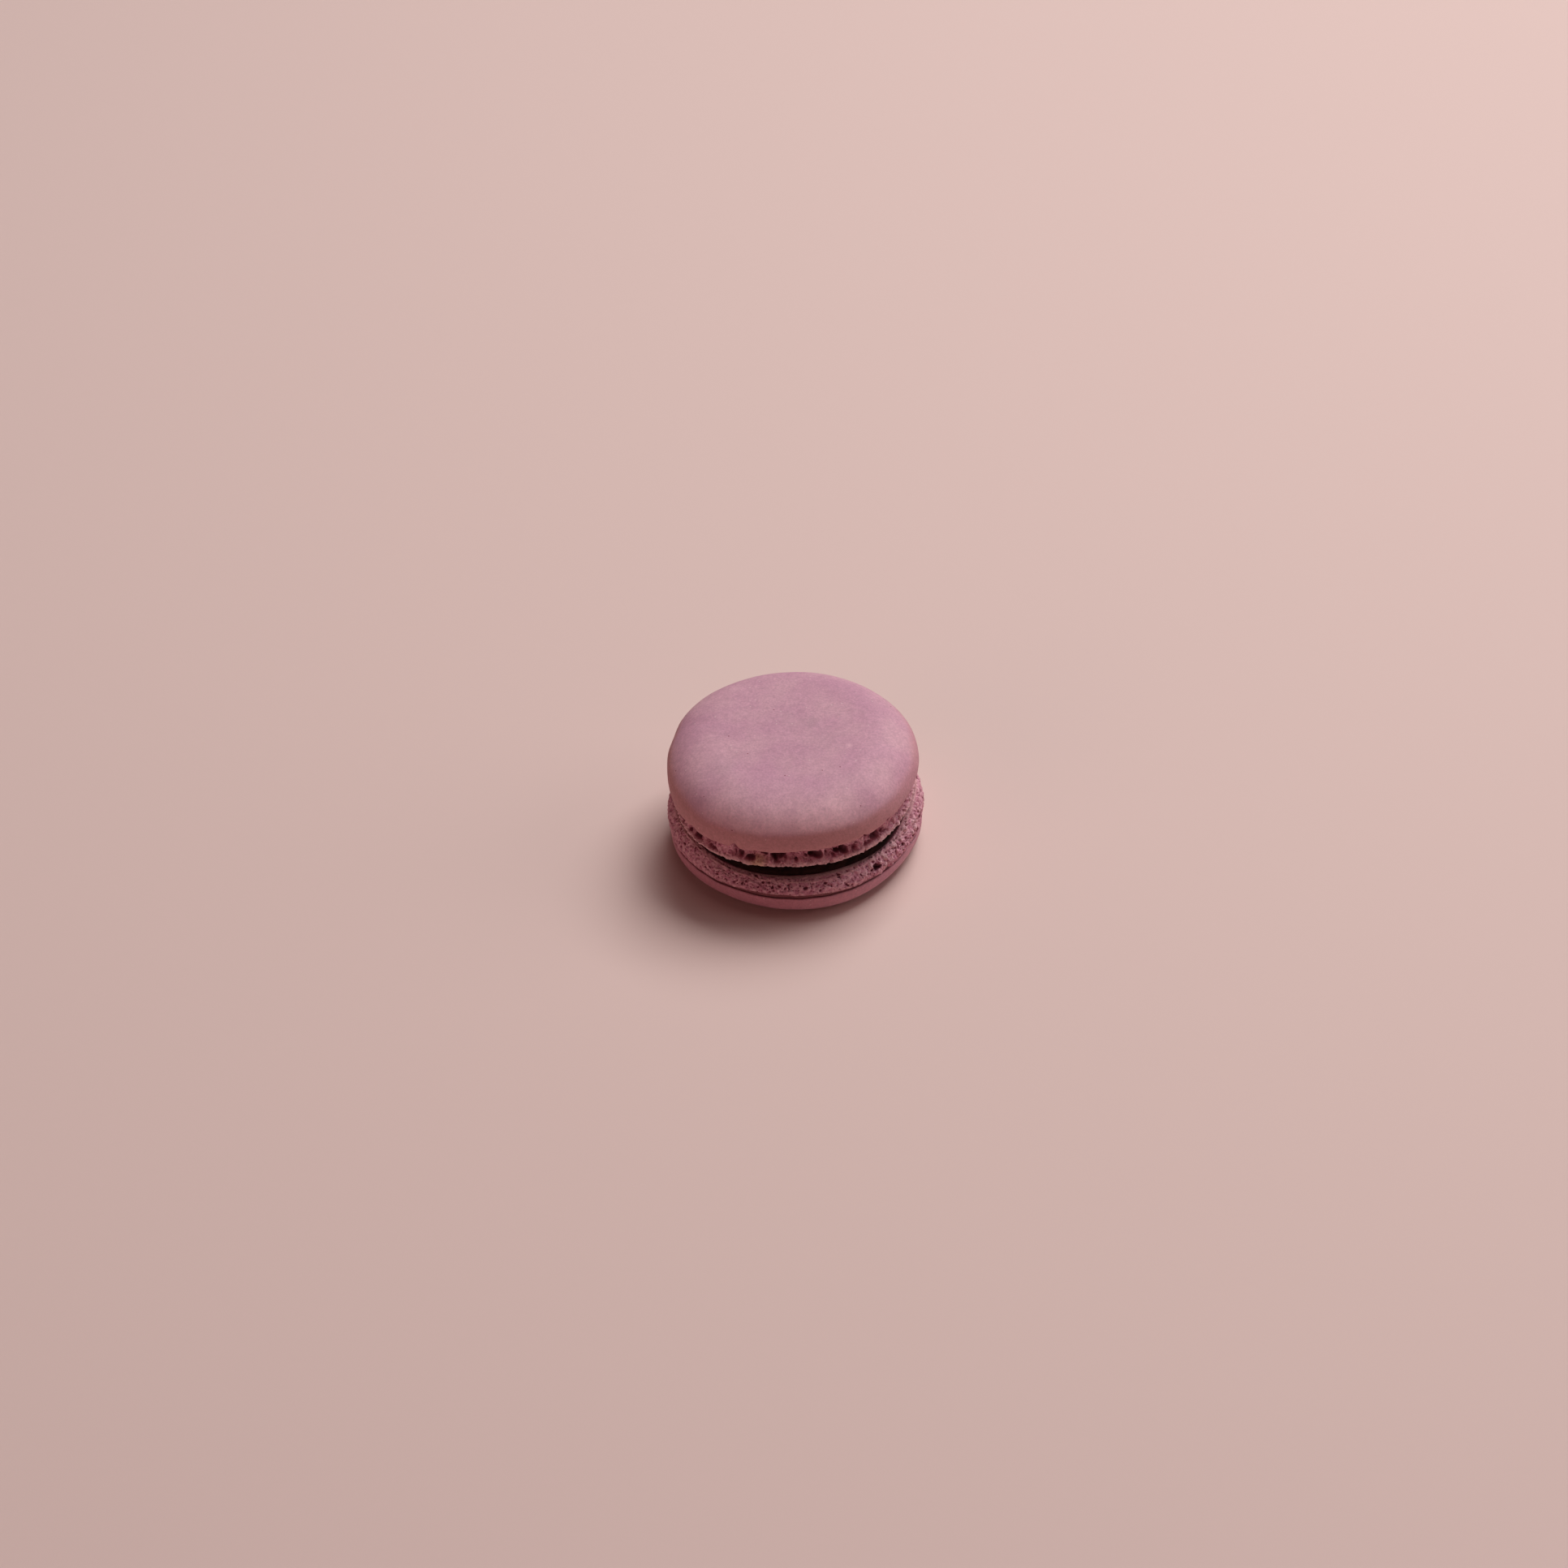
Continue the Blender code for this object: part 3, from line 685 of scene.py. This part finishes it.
def make_lower_foot():
    """The lower foot: fine sponge that runs up on the ledge, and a smooth strip below it."""
    azimuth = around(1280)
    radius, height = lower_foot_profile()
    out_r, out_z = face_of(radius, height)
    on_face = smooth((FACE_TOP + 0.04 * MM - height) / (0.25 * MM)) * (radius > 21.0 * MM)
    on_ledge = smooth((radius - LEDGE_SPONGE_FROM) / (0.45 * MM)) * (height > FACE_TOP)
    on_ledge = on_ledge * (0.4 + 0.6 * openness(azimuth))
    sponge_top = np.maximum(on_face, LEDGE_SPONGE * on_ledge)
    coarse = smooth(1.0 - away_from(azimuth, COARSE_MIDDLE) / 45.0)
    plain_height = height + 0.0 * azimuth
    radius, height = uneven_lower(radius, azimuth, height)
    points = points_of(radius, azimuth, height)
    front_left = smooth(1.0 - away_from(azimuth, STRIP_MIDDLE) / STRIP_REACH)
    strip = STRIP_LEAST + STRIP_HEIGHT * front_left + 0.22 * MM * lumps(points, 2.2 * MM, 77)
    in_sponge = sponge_top * smooth((plain_height - CREASE_HEIGHT - strip) / (0.3 * MM))

    loose = stirred(points, 0.7 * MM, 0.20 * MM, 70)
    rough = (0.20 + 0.16 * coarse) * lumps(points, 1.2 * MM, 71)
    rough = (rough + (0.15 + 0.08 * coarse) * lumps(points, 0.42 * MM, 72)) * MM
    rough = rough + 0.06 * MM * soft_noise(points, 0.22 * MM, 79)
    rough = rough + (0.7 + 0.5 * coarse) * bubbles(loose, 0.55 * MM, 0.12, 0.48, 78, share=0.75)
    clumps = bubbles(loose, 1.5 * MM, 0.22, 0.52, 81, share=0.7)
    clumps = clumps * smooth((plain_height - CREASE_HEIGHT - 0.8 * MM) / (0.8 * MM))
    rough = rough + 0.75 * coarse * clumps
    gaps = softened(bubbles(loose, 1.3 * MM, 0.16, 0.40, 76, share=0.35), 0.2 * MM)
    pores = softened(bubbles(loose, 0.66 * MM, 0.20, 0.50, 73, share=0.50), 0.12 * MM)
    fine = burst(loose, 0.34 * MM, 0.20 * MM, 0.12, 0.60, 74)
    holes = 1.2 * placed_caves(loose, LOWER_HOLES, LOWER_FOOT_RADIUS - 0.25 * MM)
    depth = np.maximum(np.maximum(gaps, 1.1 * pores), holes) + fine
    move = (rough - depth) * in_sponge
    quiet = 0.07 * MM * lumps(points, 0.8 * MM, 75) * smooth((radius - 18.0 * MM) / (1.0 * MM))
    radius = radius + (move + quiet) * out_r
    height = height + (move + quiet) * out_z + crease_waver(azimuth, plain_height)

    # The inner part of the ledge, under the upper lip, is painted dark as shade.
    ledge_shade_edge = LEDGE_SHADE_RADIUS + 0.35 * MM * smooth(1.0 - away_from(azimuth, -145.0) / 40.0)
    ledge_shade = smooth((ledge_shade_edge - radius) / (0.4 * MM)) * (plain_height > FACE_TOP)
    # Pores, and the ledge under the upper lip, get painted shade through the pit mark.
    pit = np.maximum(smooth(depth / (0.5 * MM)) * in_sponge, ledge_shade)
    # The smooth strip above the crease, which the material paints dark red as the crease's shade.
    in_shaded_strip = 1.0 - smooth((plain_height - CREASE_HEIGHT - strip) / (0.3 * MM))
    marks = {"pit": pit, "sponge": in_sponge, "strip": in_shaded_strip}
    # Clumps that stand out on the coarse right side are painted paler through the lip mark, as a
    # highlight where they catch the light.
    proud = coarse * smooth(clumps / (0.4 * MM)) * in_sponge
    marks.update({"lip": 0.7 * proud, "toasted": 0.0 * pit})
    return grid_piece("bottom_foot", points_of(radius, azimuth, height), marks)


bottom_foot = make_lower_foot()

# %% [markdown]
# ## The lower cap
# The lower cap is the same smooth skin as the upper one, upside down. It is flattened where it
# rests, and its top edge curls in to the crease under the foot.

# %% Build the lower cap


def make_lower_cap():
    """Rings: hidden top, curled edge, superellipse shoulder, shallow belly and flat rest."""
    azimuth = around(520)
    flat_radius = LOWER_CAP_RADIUS - LOWER_SHOULDER
    rise = CREASE_HEIGHT - CREASE_DEPTH - LOWER_BELLY
    curl = run(1.0, 0.0, 8)
    out, up = superellipse(np.linspace(0.0, 1.0, 56), LOWER_SHOULDER, rise, LOWER_SHARPNESS)
    radius = [np.array([0.0, 12.0, 20.5, 21.3]) * MM]
    height = [np.array([3.6, 3.6, 3.9, 4.2]) * MM]
    radius.append(LOWER_CAP_RADIUS - 0.6 * CREASE_DEPTH * (1.0 - np.cos(curl * math.pi / 2.0)))
    height.append(CREASE_HEIGHT - CREASE_DEPTH * (1.0 - np.sin(curl * math.pi / 2.0)))
    radius.append(flat_radius + out)
    height.append(LOWER_BELLY + rise - up)
    belly = np.linspace(1.0, 0.0, 14)[1:]
    radius.append(REST_RADIUS + (flat_radius - REST_RADIUS) * belly)
    height.append(LOWER_BELLY * belly**2)
    radius.append(np.array([6.0, 3.0, 0.0]) * MM)
    height.append(np.zeros(3))
    radius = np.concatenate(radius)[:, None]
    height = np.concatenate(height)[:, None]
    out_r, out_z = face_of(radius, height)
    radius, height = uneven_lower(radius, azimuth, height)
    height = height + crease_waver(azimuth, height)
    points = points_of(radius, azimuth, height)
    off_floor = smooth((radius - 12.0 * MM) / (6.0 * MM))
    bumps = sum(d * soft_noise(points, size, 80 + i) for i, (size, d) in enumerate(BATTER_LUMPS))
    radius = radius + bumps * 0.6 * off_floor * out_r
    height = (height + bumps * 0.6 * off_floor * out_z).clip(0.0)
    rim = smooth((height - 0.5 * MM) / (3.0 * MM)) * smooth((radius - 17.0 * MM) / (4.0 * MM))
    rim = rim * (0.8 - 0.4 * smooth(1.0 - away_from(azimuth, -25.0) / 60.0))
    marks = {"rim": rim, "bruise": 0.0 * rim, "scuffs_and_painted_light": 0.0 * rim}
    return grid_piece("bottom_cap", points_of(radius, azimuth, height), marks)


bottom_cap = make_lower_cap()

# %% [markdown]
# ## The filling
# Only the edge of the filling shows, in shadow, as a dark band that ends a little behind both
# shells. It is a thin wedge that fills the room between them, so its top and bottom follow the
# two faces it lies between, and its edge is a shallow, slightly smeared bulge. On the right, where
# the slot closes, it stays further back.

# %% Build the filling
FILLING_SHY = 1.8 * MM
SHY_MIDDLE = -15.0
SHY_REACH = 32.0


def make_filling():
    """A disc whose height is the part of the way up the gap, with a bulging uneven edge."""
    azimuth = around(720)
    turn = np.linspace(0.0, 1.0, 19)
    bulge = np.sin(turn * math.pi)
    inner = np.array([0.0, 8.0, 12.0, 15.0]) * MM
    drawn_in = FILLING_RADIUS_OPEN - FILLING_RADIUS_SHUT
    reach = np.minimum(1.0, FILLING_SPREAD * openness(azimuth))
    shy = FILLING_SHY * smooth(1.0 - away_from(azimuth, SHY_MIDDLE) / SHY_REACH)
    rim = FILLING_RADIUS_OPEN - drawn_in * (1.0 - smooth(reach)) - FILLING_BULGE - shy
    radius = np.concatenate([
        inner[:, None] + 0.0 * azimuth,
        rim + FILLING_BULGE * bulge[:, None],
        inner[::-1, None] + 0.0 * azimuth,
    ])
    part = np.concatenate([np.ones(4), 1.0 - turn, np.zeros(4)])[:, None]
    bulging = np.concatenate([np.zeros(4), bulge, np.zeros(4)])[:, None]
    points = points_of(radius, azimuth, 4.0 * MM * part + 0.0 * azimuth)
    smear = 0.16 * lumps(points, 1.8 * MM, 91) + 0.06 * lumps(points, 0.5 * MM, 92)
    radius = radius + smear * MM * bulging
    floor = LEDGE_HEIGHT + lower_rise(azimuth) * (radius / LEDGE_RADIUS) ** 3 + TOUCH_GAP
    ceiling = upper_plane(radius, azimuth) + dish(radius) - TOUCH_GAP
    height = floor + (ceiling - floor) * part
    return grid_piece("filling_layer", points_of(radius, azimuth, height))


filling_layer = make_filling()

# %% [markdown]
# ## Shader helpers
# A material is a small tree of nodes, and a few helpers keep the trees short. What a socket is fed
# with may be a number, a colour or another socket. A group is made once and used in several
# materials.

# %% Node helpers


def add_node(tree, kind, values=None, **settings):
    """Add a node, set its own settings, and feed its sockets by name or by number."""
    made = tree.nodes.new(kind)
    for name, value in settings.items():
        setattr(made, name, value)
    for name, value in (values or {}).items():
        feed(tree, made.inputs[name], value)
    return made


def feed(tree, socket, value):
    """Link another socket to a socket, or set its value."""
    if isinstance(value, bpy.types.NodeSocket):
        tree.links.new(value, socket)
    else:
        socket.default_value = value


def math_node(tree, operation, first, second=0.5):
    """A Math node. Each argument is a number or a socket."""
    made = add_node(tree, "ShaderNodeMath", operation=operation)
    feed(tree, made.inputs[0], first)
    feed(tree, made.inputs[1], second)
    return made.outputs[0]


def blend_node(tree, mask, first, second, how="MIX"):
    """A colour Mix node, from the first colour to the second as the mask goes from 0 to 1."""
    made = add_node(tree, "ShaderNodeMix", data_type="RGBA", blend_type=how)
    for name, value in (("Factor_Float", mask), ("A_Color", first), ("B_Color", second)):
        feed(tree, next(s for s in made.inputs if s.identifier == name), value)
    return next(s for s in made.outputs if s.identifier == "Result_Color")


def new_group(name, inputs, outputs):
    """An empty shader group: a socket for places, number inputs by name, outputs by kind."""
    group = bpy.data.node_groups.new(name, "ShaderNodeTree")
    add_socket = group.interface.new_socket
    add_socket("Place", in_out="INPUT", socket_type="NodeSocketVector")
    for label, value in inputs.items():
        add_socket(label, in_out="INPUT", socket_type="NodeSocketFloat").default_value = value
    for label, kind in outputs.items():
        add_socket(label, in_out="OUTPUT", socket_type="NodeSocket" + kind)
    come, go = group.nodes.new("NodeGroupInput"), group.nodes.new("NodeGroupOutput")
    return group, come.outputs, go.inputs


def use_group(tree, group, links):
    """Place a group in a tree. links are numbers, colours or sockets by the input's name."""
    return add_node(tree, "ShaderNodeGroup", links, node_tree=group).outputs


# %% [markdown]
# ## Three effects that the finishes share
# Close up, almond meringue is never one colour. Ground almond and sugar give it a fine grain, its
# pink is stronger in one place than in the next, and a few pinholes or pale grains stand out. The
# first group gives the grain as a value and a height. The second gives soft clouds of a size, from
# 0 to 1 between two edges. The third scatters dots: it finds the nearest point of a random lattice
# and keeps a share of the points, so the dots are few.

# %% Groups for grain, clouds and dots


def grain_group():
    """Fine noise of a size, as a grey to multiply a colour with and as a height for a bump."""
    inputs = {"Size": 0.3 * MM, "Contrast": 0.1}
    group, come, go = new_group("almond_grain", inputs, {"Grey": "Color", "Height": "Float"})
    values = {"Vector": come["Place"], "Scale": math_node(group, "DIVIDE", 1.0, come["Size"])}
    values.update({"Detail": 3.0, "Roughness": 0.65})
    noise = add_node(group, "ShaderNodeTexNoise", values)
    centred = math_node(group, "SUBTRACT", noise.outputs[0], 0.5)
    centred = math_node(group, "MULTIPLY", centred, 5.0)
    swing = math_node(group, "MULTIPLY", centred, come["Contrast"])
    value = math_node(group, "ADD", swing, 1.0)
    grey = add_node(group, "ShaderNodeCombineColor", {0: value, 1: value, 2: value})
    group.links.new(grey.outputs[0], go["Grey"])
    group.links.new(noise.outputs[0], go["Height"])
    return group


def cloud_group():
    """Soft noise of a size, eased from 0 at the low edge to 1 at the high edge."""
    inputs = {"Size": 5.0 * MM, "Low": 0.35, "High": 0.65}
    group, come, go = new_group("soft_cloud", inputs, {"Mask": "Float"})
    values = {"Vector": come["Place"], "Scale": math_node(group, "DIVIDE", 1.0, come["Size"])}
    values.update({"Detail": 2.0, "Roughness": 0.5})
    noise = add_node(group, "ShaderNodeTexNoise", values)
    values = {0: noise.outputs[0], 1: come["Low"], 2: come["High"], 3: 0.0, 4: 1.0}
    eased = add_node(group, "ShaderNodeMapRange", values, interpolation_type="SMOOTHSTEP")
    group.links.new(eased.outputs[0], go["Mask"])
    return group


def dots_group():
    """Round dots: 1 within a radius of a kept lattice point, easing to 0 outside it."""
    inputs = {"Spacing": 1.0 * MM, "Radius": 0.15, "Share": 0.1}
    group, come, go = new_group("scattered_dots", inputs, {"Mask": "Float"})
    values = {"Vector": come["Place"], "Scale": math_node(group, "DIVIDE", 1.0, come["Spacing"])}
    cells = add_node(group, "ShaderNodeTexVoronoi", values)
    near = math_node(group, "DIVIDE", cells.outputs["Distance"], come["Radius"])
    values = {0: near, 1: 0.7, 2: 1.1, 3: 1.0, 4: 0.0}
    inside = add_node(group, "ShaderNodeMapRange", values, interpolation_type="SMOOTHSTEP")
    lot = add_node(group, "ShaderNodeSeparateColor", {0: cells.outputs["Color"]})
    kept = math_node(group, "LESS_THAN", lot.outputs[0], come["Share"])
    group.links.new(math_node(group, "MULTIPLY", inside.outputs[0], kept), go["Mask"])
    return group


GRAIN = grain_group()
CLOUD = cloud_group()
DOTS = dots_group()
print("groups:", [group.name for group in bpy.data.node_groups])


def start_material(name):
    """A new material: its tree, its shader, and the object's coordinates as places."""
    material = bpy.data.materials.new(name)
    material.use_nodes = True
    tree = material.node_tree
    place = add_node(tree, "ShaderNodeTexCoord").outputs["Object"]
    return material, tree, tree.nodes["Principled BSDF"], place


def end_material(tree, shader, colour, grain, depth, finish):
    """Give a shader its colour, a bump from a grain, and its roughness and specular level."""
    strength, roughness, specular = finish
    values = {"Strength": strength, "Distance": depth, "Height": grain}
    bump = add_node(tree, "ShaderNodeBump", values)
    feed(tree, shader.inputs["Base Color"], colour)
    feed(tree, shader.inputs["Normal"], bump.outputs[0])
    feed(tree, shader.inputs["Roughness"], roughness)
    feed(tree, shader.inputs["Specular IOR Level"], specular)


def mark_of(tree, name):
    """The value that the mesh keeps at each point under a name."""
    return add_node(tree, "ShaderNodeAttribute", attribute_name=name).outputs["Fac"]


# %% [markdown]
# ## The finish of the caps
# The skin is dusty mauve pink, in soft clouds of a purpler and a greyer pink. Towards the rim it
# turns
# a warmer, darker pink: partly browning from the oven, partly painted shade on the rim, strongest
# on the left front, and a painted warm sheen where the skin turns away at the back. Here and there
# it is bruised grey or scuffed pale, and along the front shoulder a painted highlight keeps it as
# light as the top. The sugar leaves it nearly matte, with a very faint sheen.

# %% Cap material
PURPLE_PINK = (0.540, 0.262, 0.345, 1.0)
DUSTY_PINK = (0.590, 0.312, 0.372, 1.0)
# Warm pink of the upper rim band: partly oven browning, partly painted shade and a painted warm
# sheen.
WARM_PINK = (0.510, 0.216, 0.220, 1.0)
ROSE_RED = (0.560, 0.210, 0.258, 1.0)
BRUISED_GREY = (0.330, 0.215, 0.235, 1.0)
# Pale pink of the scuffs and of the painted highlight on the front shoulder.
SCUFF_AND_HIGHLIGHT_PALE = (0.800, 0.455, 0.510, 1.0)
PINHOLE_RED = (0.240, 0.045, 0.080, 1.0)
SUGAR_PALE = (0.820, 0.620, 0.600, 1.0)
SKIN_FINISH = (0.4, 0.72, 0.35)  # strength of the bump, roughness, specular level


def cap_material(name, rim_colour):
    """Clouded skin: two pinks by large noise, marks for rim and spots, then grain and dots."""
    material, tree, shader, place = start_material(name)
    cloud = use_group(tree, CLOUD, {"Place": place, "Size": 8.0 * MM, "Low": 0.3, "High": 0.7})
    colour = blend_node(tree, cloud["Mask"], PURPLE_PINK, DUSTY_PINK)
    # The rim band. On the upper cap it is partly oven browning, partly painted shade and a painted
    # warm sheen.
    colour = blend_node(tree, mark_of(tree, "rim"), colour, rim_colour)
    colour = blend_node(tree, mark_of(tree, "bruise"), colour, BRUISED_GREY)
    # Pale scuffs, and a painted highlight along the front shoulder.
    colour = blend_node(tree, mark_of(tree, "scuffs_and_painted_light"), colour, SCUFF_AND_HIGHLIGHT_PALE)

    coarse = use_group(tree, GRAIN, {"Place": place, "Size": 1.1 * MM, "Contrast": 0.07})
    colour = blend_node(tree, 1.0, colour, coarse["Grey"], "MULTIPLY")
    fine = use_group(tree, GRAIN, {"Place": place, "Size": 0.40 * MM, "Contrast": 0.12})
    colour = blend_node(tree, 1.0, colour, fine["Grey"], "MULTIPLY")

    pinholes = {"Place": place, "Spacing": 1.6 * MM, "Radius": 0.085, "Share": 0.11}
    colour = blend_node(tree, use_group(tree, DOTS, pinholes)["Mask"], colour, PINHOLE_RED)
    sugar = {"Place": place, "Spacing": 0.9 * MM, "Radius": 0.15, "Share": 0.09}
    faint = math_node(tree, "MULTIPLY", use_group(tree, DOTS, sugar)["Mask"], 0.5)
    colour = blend_node(tree, faint, colour, SUGAR_PALE)
    end_material(tree, shader, colour, fine["Height"], 0.06 * MM, SKIN_FINISH)
    return material


# %% [markdown]
# ## The finish of the feet
# The sponge has the same pink, but it is torn open. Its crumbs are pale pink and strong red pink in
# small patches, and the pores go down to a deep red brown. The mark called pit measures how deep a
# place lies in a pore, a cave or the recess under the skin, and on the lower ledge how far in it
# lies
# under the upper lip: it turns the colour redder, partly the crumb's own red, and then darker as
# painted shade. The mark lip picks out the pale bottom edge of the upper foot, and on the lower
# foot the clumps that stand out on the right, painted paler as a highlight. The mark strip is the
# smooth band above the crease, painted dark red as the crease's shade.

# %% Foot material
PALE_CRUMB = (0.740, 0.385, 0.440, 1.0)
RED_CRUMB = (0.550, 0.205, 0.280, 1.0)
# Inner red is partly the crumb's own redder inside and partly painted shade; the pore brown is
# painted shade.
INNER_RED_AND_SHADE = (0.300, 0.072, 0.110, 1.0)
PAINTED_PORE_SHADE = (0.075, 0.020, 0.026, 1.0)
# Pale pink: the upper foot's own pale lip, and a painted highlight on the lower foot's proud
# clumps.
PALE_LIP_AND_HIGHLIGHT_PINK = (0.790, 0.490, 0.500, 1.0)
LEDGE_PINK = (0.660, 0.345, 0.360, 1.0)
# Dark red painted shade for the strip above the crease.
CREASE_SHADE_RED = (0.200, 0.062, 0.072, 1.0)
TOASTED_TAN = (0.700, 0.430, 0.330, 1.0)
SPONGE_FINISH = (0.8, 0.85, 0.2)


def foot_material(name, smooth_colour):
    """Sponge: crumbs in two pinks by noise, redder and then darker, as painted shade, with the
    depth of its pits.
    """
    material, tree, shader, place = start_material(name)
    patches = use_group(tree, CLOUD, {"Place": place, "Size": 0.7 * MM, "Low": 0.32, "High": 0.66})
    crumb = blend_node(tree, patches["Mask"], RED_CRUMB, PALE_CRUMB)
    colour = blend_node(tree, mark_of(tree, "sponge"), smooth_colour, crumb)
    # The strip above the crease is painted dark red as its shade.
    colour = blend_node(tree, mark_of(tree, "strip"), colour, CREASE_SHADE_RED)
    # The upper foot's pale bottom edge, and a painted highlight on the lower foot's proud clumps.
    edge = math_node(tree, "MULTIPLY", mark_of(tree, "lip"), 0.85)
    colour = blend_node(tree, edge, colour, PALE_LIP_AND_HIGHLIGHT_PINK)
    colour = blend_node(tree, mark_of(tree, "toasted"), colour, TOASTED_TAN)

    # Deeper places turn redder, partly the crumb's own red, then darker as painted shade.
    pit = mark_of(tree, "pit")
    shallow = add_node(tree, "ShaderNodeMapRange", {0: pit, 1: 0.05, 2: 0.45, 3: 0.0, 4: 0.9})
    colour = blend_node(tree, shallow.outputs[0], colour, INNER_RED_AND_SHADE)
    deep = add_node(tree, "ShaderNodeMapRange", {0: pit, 1: 0.45, 2: 0.95, 3: 0.0, 4: 0.75})
    colour = blend_node(tree, deep.outputs[0], colour, PAINTED_PORE_SHADE)

    grain = use_group(tree, GRAIN, {"Place": place, "Size": 0.28 * MM, "Contrast": 0.16})
    colour = blend_node(tree, 1.0, colour, grain["Grey"], "MULTIPLY")
    end_material(tree, shader, colour, grain["Height"], 0.12 * MM, SPONGE_FINISH)
    return material


# %% [markdown]
# ## The finish of the filling
# A very dark brown cream, dull in the shadow between the shells.

# %% Filling material
CREAM_DARK = (0.008, 0.003, 0.0025, 1.0)
CREAM_BROWN = (0.018, 0.006, 0.005, 1.0)
CREAM_FINISH = (0.5, 0.8, 0.05)


def filling_material():
    """Dark cream: two browns by noise, with a soft bump."""
    material, tree, shader, place = start_material("dark_cream")
    streaks = use_group(tree, CLOUD, {"Place": place, "Size": 1.5 * MM, "Low": 0.35, "High": 0.65})
    colour = blend_node(tree, streaks["Mask"], CREAM_DARK, CREAM_BROWN)
    grain = use_group(tree, GRAIN, {"Place": place, "Size": 0.9 * MM, "Contrast": 0.1})
    end_material(tree, shader, colour, grain["Height"], 0.12 * MM, CREAM_FINISH)
    return material


# %% [markdown]
# ## Dressing the pieces
# Each piece gets its material, rides on the one body, and stands for a solid of the model. A
# shell is one baked piece, so its cap and its foot both stand for the same solid.

# %% Dress the pieces and say what each one stands for
FINISHES = (
    (top_cap, cap_material("upper_skin", WARM_PINK), "top_shell", "upper_meringue"),
    (top_foot, foot_material("upper_sponge", WARM_PINK), "top_shell", "upper_meringue"),
    (bottom_foot, foot_material("lower_sponge", LEDGE_PINK), "bottom_shell", "lower_meringue"),
    (bottom_cap, cap_material("lower_skin", ROSE_RED), "bottom_shell", "lower_meringue"),
    (filling_layer, filling_material(), "filling", "dark_filling"),
)
for piece, material, node, slot in FINISHES:
    piece.data.materials.append(material)
    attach(piece, "root")
    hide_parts(node)
    print(piece.name, "stands for", node, "in", material.name)

# %% [markdown]
# ## Floor and light
# The floor is a plain pale pink beige, so the light it throws back up warms the underside of the
# macaron. It rises in a curve far out, so that no horizon shows. The main light is a large soft
# one, high behind and to the right, with a weak one above it. Two low weak ones, from the front
# left and from the right, open the shadows, and a very dim even sky fills in.

# %% Floor, lights and world
FLOOR_COLOUR = (0.740, 0.530, 0.490)
FLOOR_RADIUS = 1.6
BACKDROP_HEIGHT = 1.6


def make_floor():
    """A disc, flat to its edge and then rising as a quarter circle, so that no horizon shows."""
    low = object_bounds()[0].z
    turn = np.linspace(0.0, math.pi / 2.0, 24)
    radius = np.concatenate([[0.0], FLOOR_RADIUS + BACKDROP_HEIGHT * np.sin(turn)])[:, None]
    height = np.concatenate([[0.0], BACKDROP_HEIGHT * (1.0 - np.cos(turn))])[:, None]
    azimuth = around(96)
    points = points_of(radius + 0.0 * azimuth, azimuth, low + height + 0.0 * azimuth)
    rows, columns = points.shape[:2]
    here = np.arange(columns) + columns * np.arange(rows - 1)[:, None]
    after = np.roll(here, -1, axis=1)
    faces = np.stack([here, here + columns, after + columns, after], axis=-1).reshape(-1, 4)
    mesh = bpy.data.meshes.new("floor")
    mesh.from_pydata(points.reshape(-1, 3).tolist(), [], faces.tolist())
    mesh.polygons.foreach_set("use_smooth", np.ones(len(faces), dtype=bool))
    floor = bpy.data.objects.new("floor", mesh)
    bpy.context.scene.collection.objects.link(floor)
    material = bpy.data.materials.new("floor")
    material.use_nodes = True
    shader = material.node_tree.nodes["Principled BSDF"]
    shader.inputs["Base Color"].default_value = (*FLOOR_COLOUR, 1.0)
    shader.inputs["Roughness"].default_value = 0.9
    shader.inputs["Specular IOR Level"].default_value = 0.1
    mesh.materials.append(material)
    floor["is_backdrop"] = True
    return floor


def area_light(name, azimuth, elevation, distance, side, power, colour):
    """A square light on a sphere round the origin, facing the origin."""
    a, e = math.radians(azimuth), math.radians(elevation)
    away = Vector((math.cos(a) * math.cos(e), math.sin(a) * math.cos(e), math.sin(e)))
    lamp = bpy.data.lights.new(name, "AREA")
    lamp.size = side
    lamp.energy = power
    lamp.color = colour
    light = bpy.data.objects.new(name, lamp)
    light.location = away * distance
    light.rotation_mode = "QUATERNION"
    light.rotation_quaternion = away.to_track_quat("Z", "Y")
    bpy.context.scene.collection.objects.link(light)
    return light


LIGHTS = (  # name, azimuth and elevation in degrees, distance, side, watts, colour
    ("key", 48.0, 57.0, 1.4, 0.9, 17.4, (0.93, 1.0, 1.0)),
    ("top", 50.0, 78.0, 1.4, 0.9, 2.8, (1.0, 0.85, 0.85)),
    ("left_warm", 220.0, 20.0, 1.4, 0.8, 1.8, (1.0, 0.55, 0.50)),
    ("right_side", 2.0, 25.0, 1.4, 0.9, 3.0, (1.0, 0.92, 0.90)),
)
SKY_COLOUR = (1.0, 0.62, 0.56, 1.0)
SKY_STRENGTH = 0.02
make_floor()
for light in LIGHTS:
    area_light(*light)
world = bpy.data.worlds.new("studio")
world.use_nodes = True
sky = world.node_tree.nodes["Background"]
sky.inputs["Color"].default_value = SKY_COLOUR
sky.inputs["Strength"].default_value = SKY_STRENGTH
bpy.context.scene.world = world
bpy.context.scene.view_settings.view_transform = "Standard"
print(len(LIGHTS), "lights of", sum(light[5] for light in LIGHTS), "watts in all")

# %% [markdown]
# ## The size of the dressed model
# The dressed model has to keep the size of the solid one. Both boxes are written down.

# %% Sizes of the solid and the dressed model
SEEN_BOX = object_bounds()
for name, box in (("solid", CAD_BOX), ("dressed", SEEN_BOX)):
    print(name, [[round(v / MM, 2) for v in corner] for corner in box])
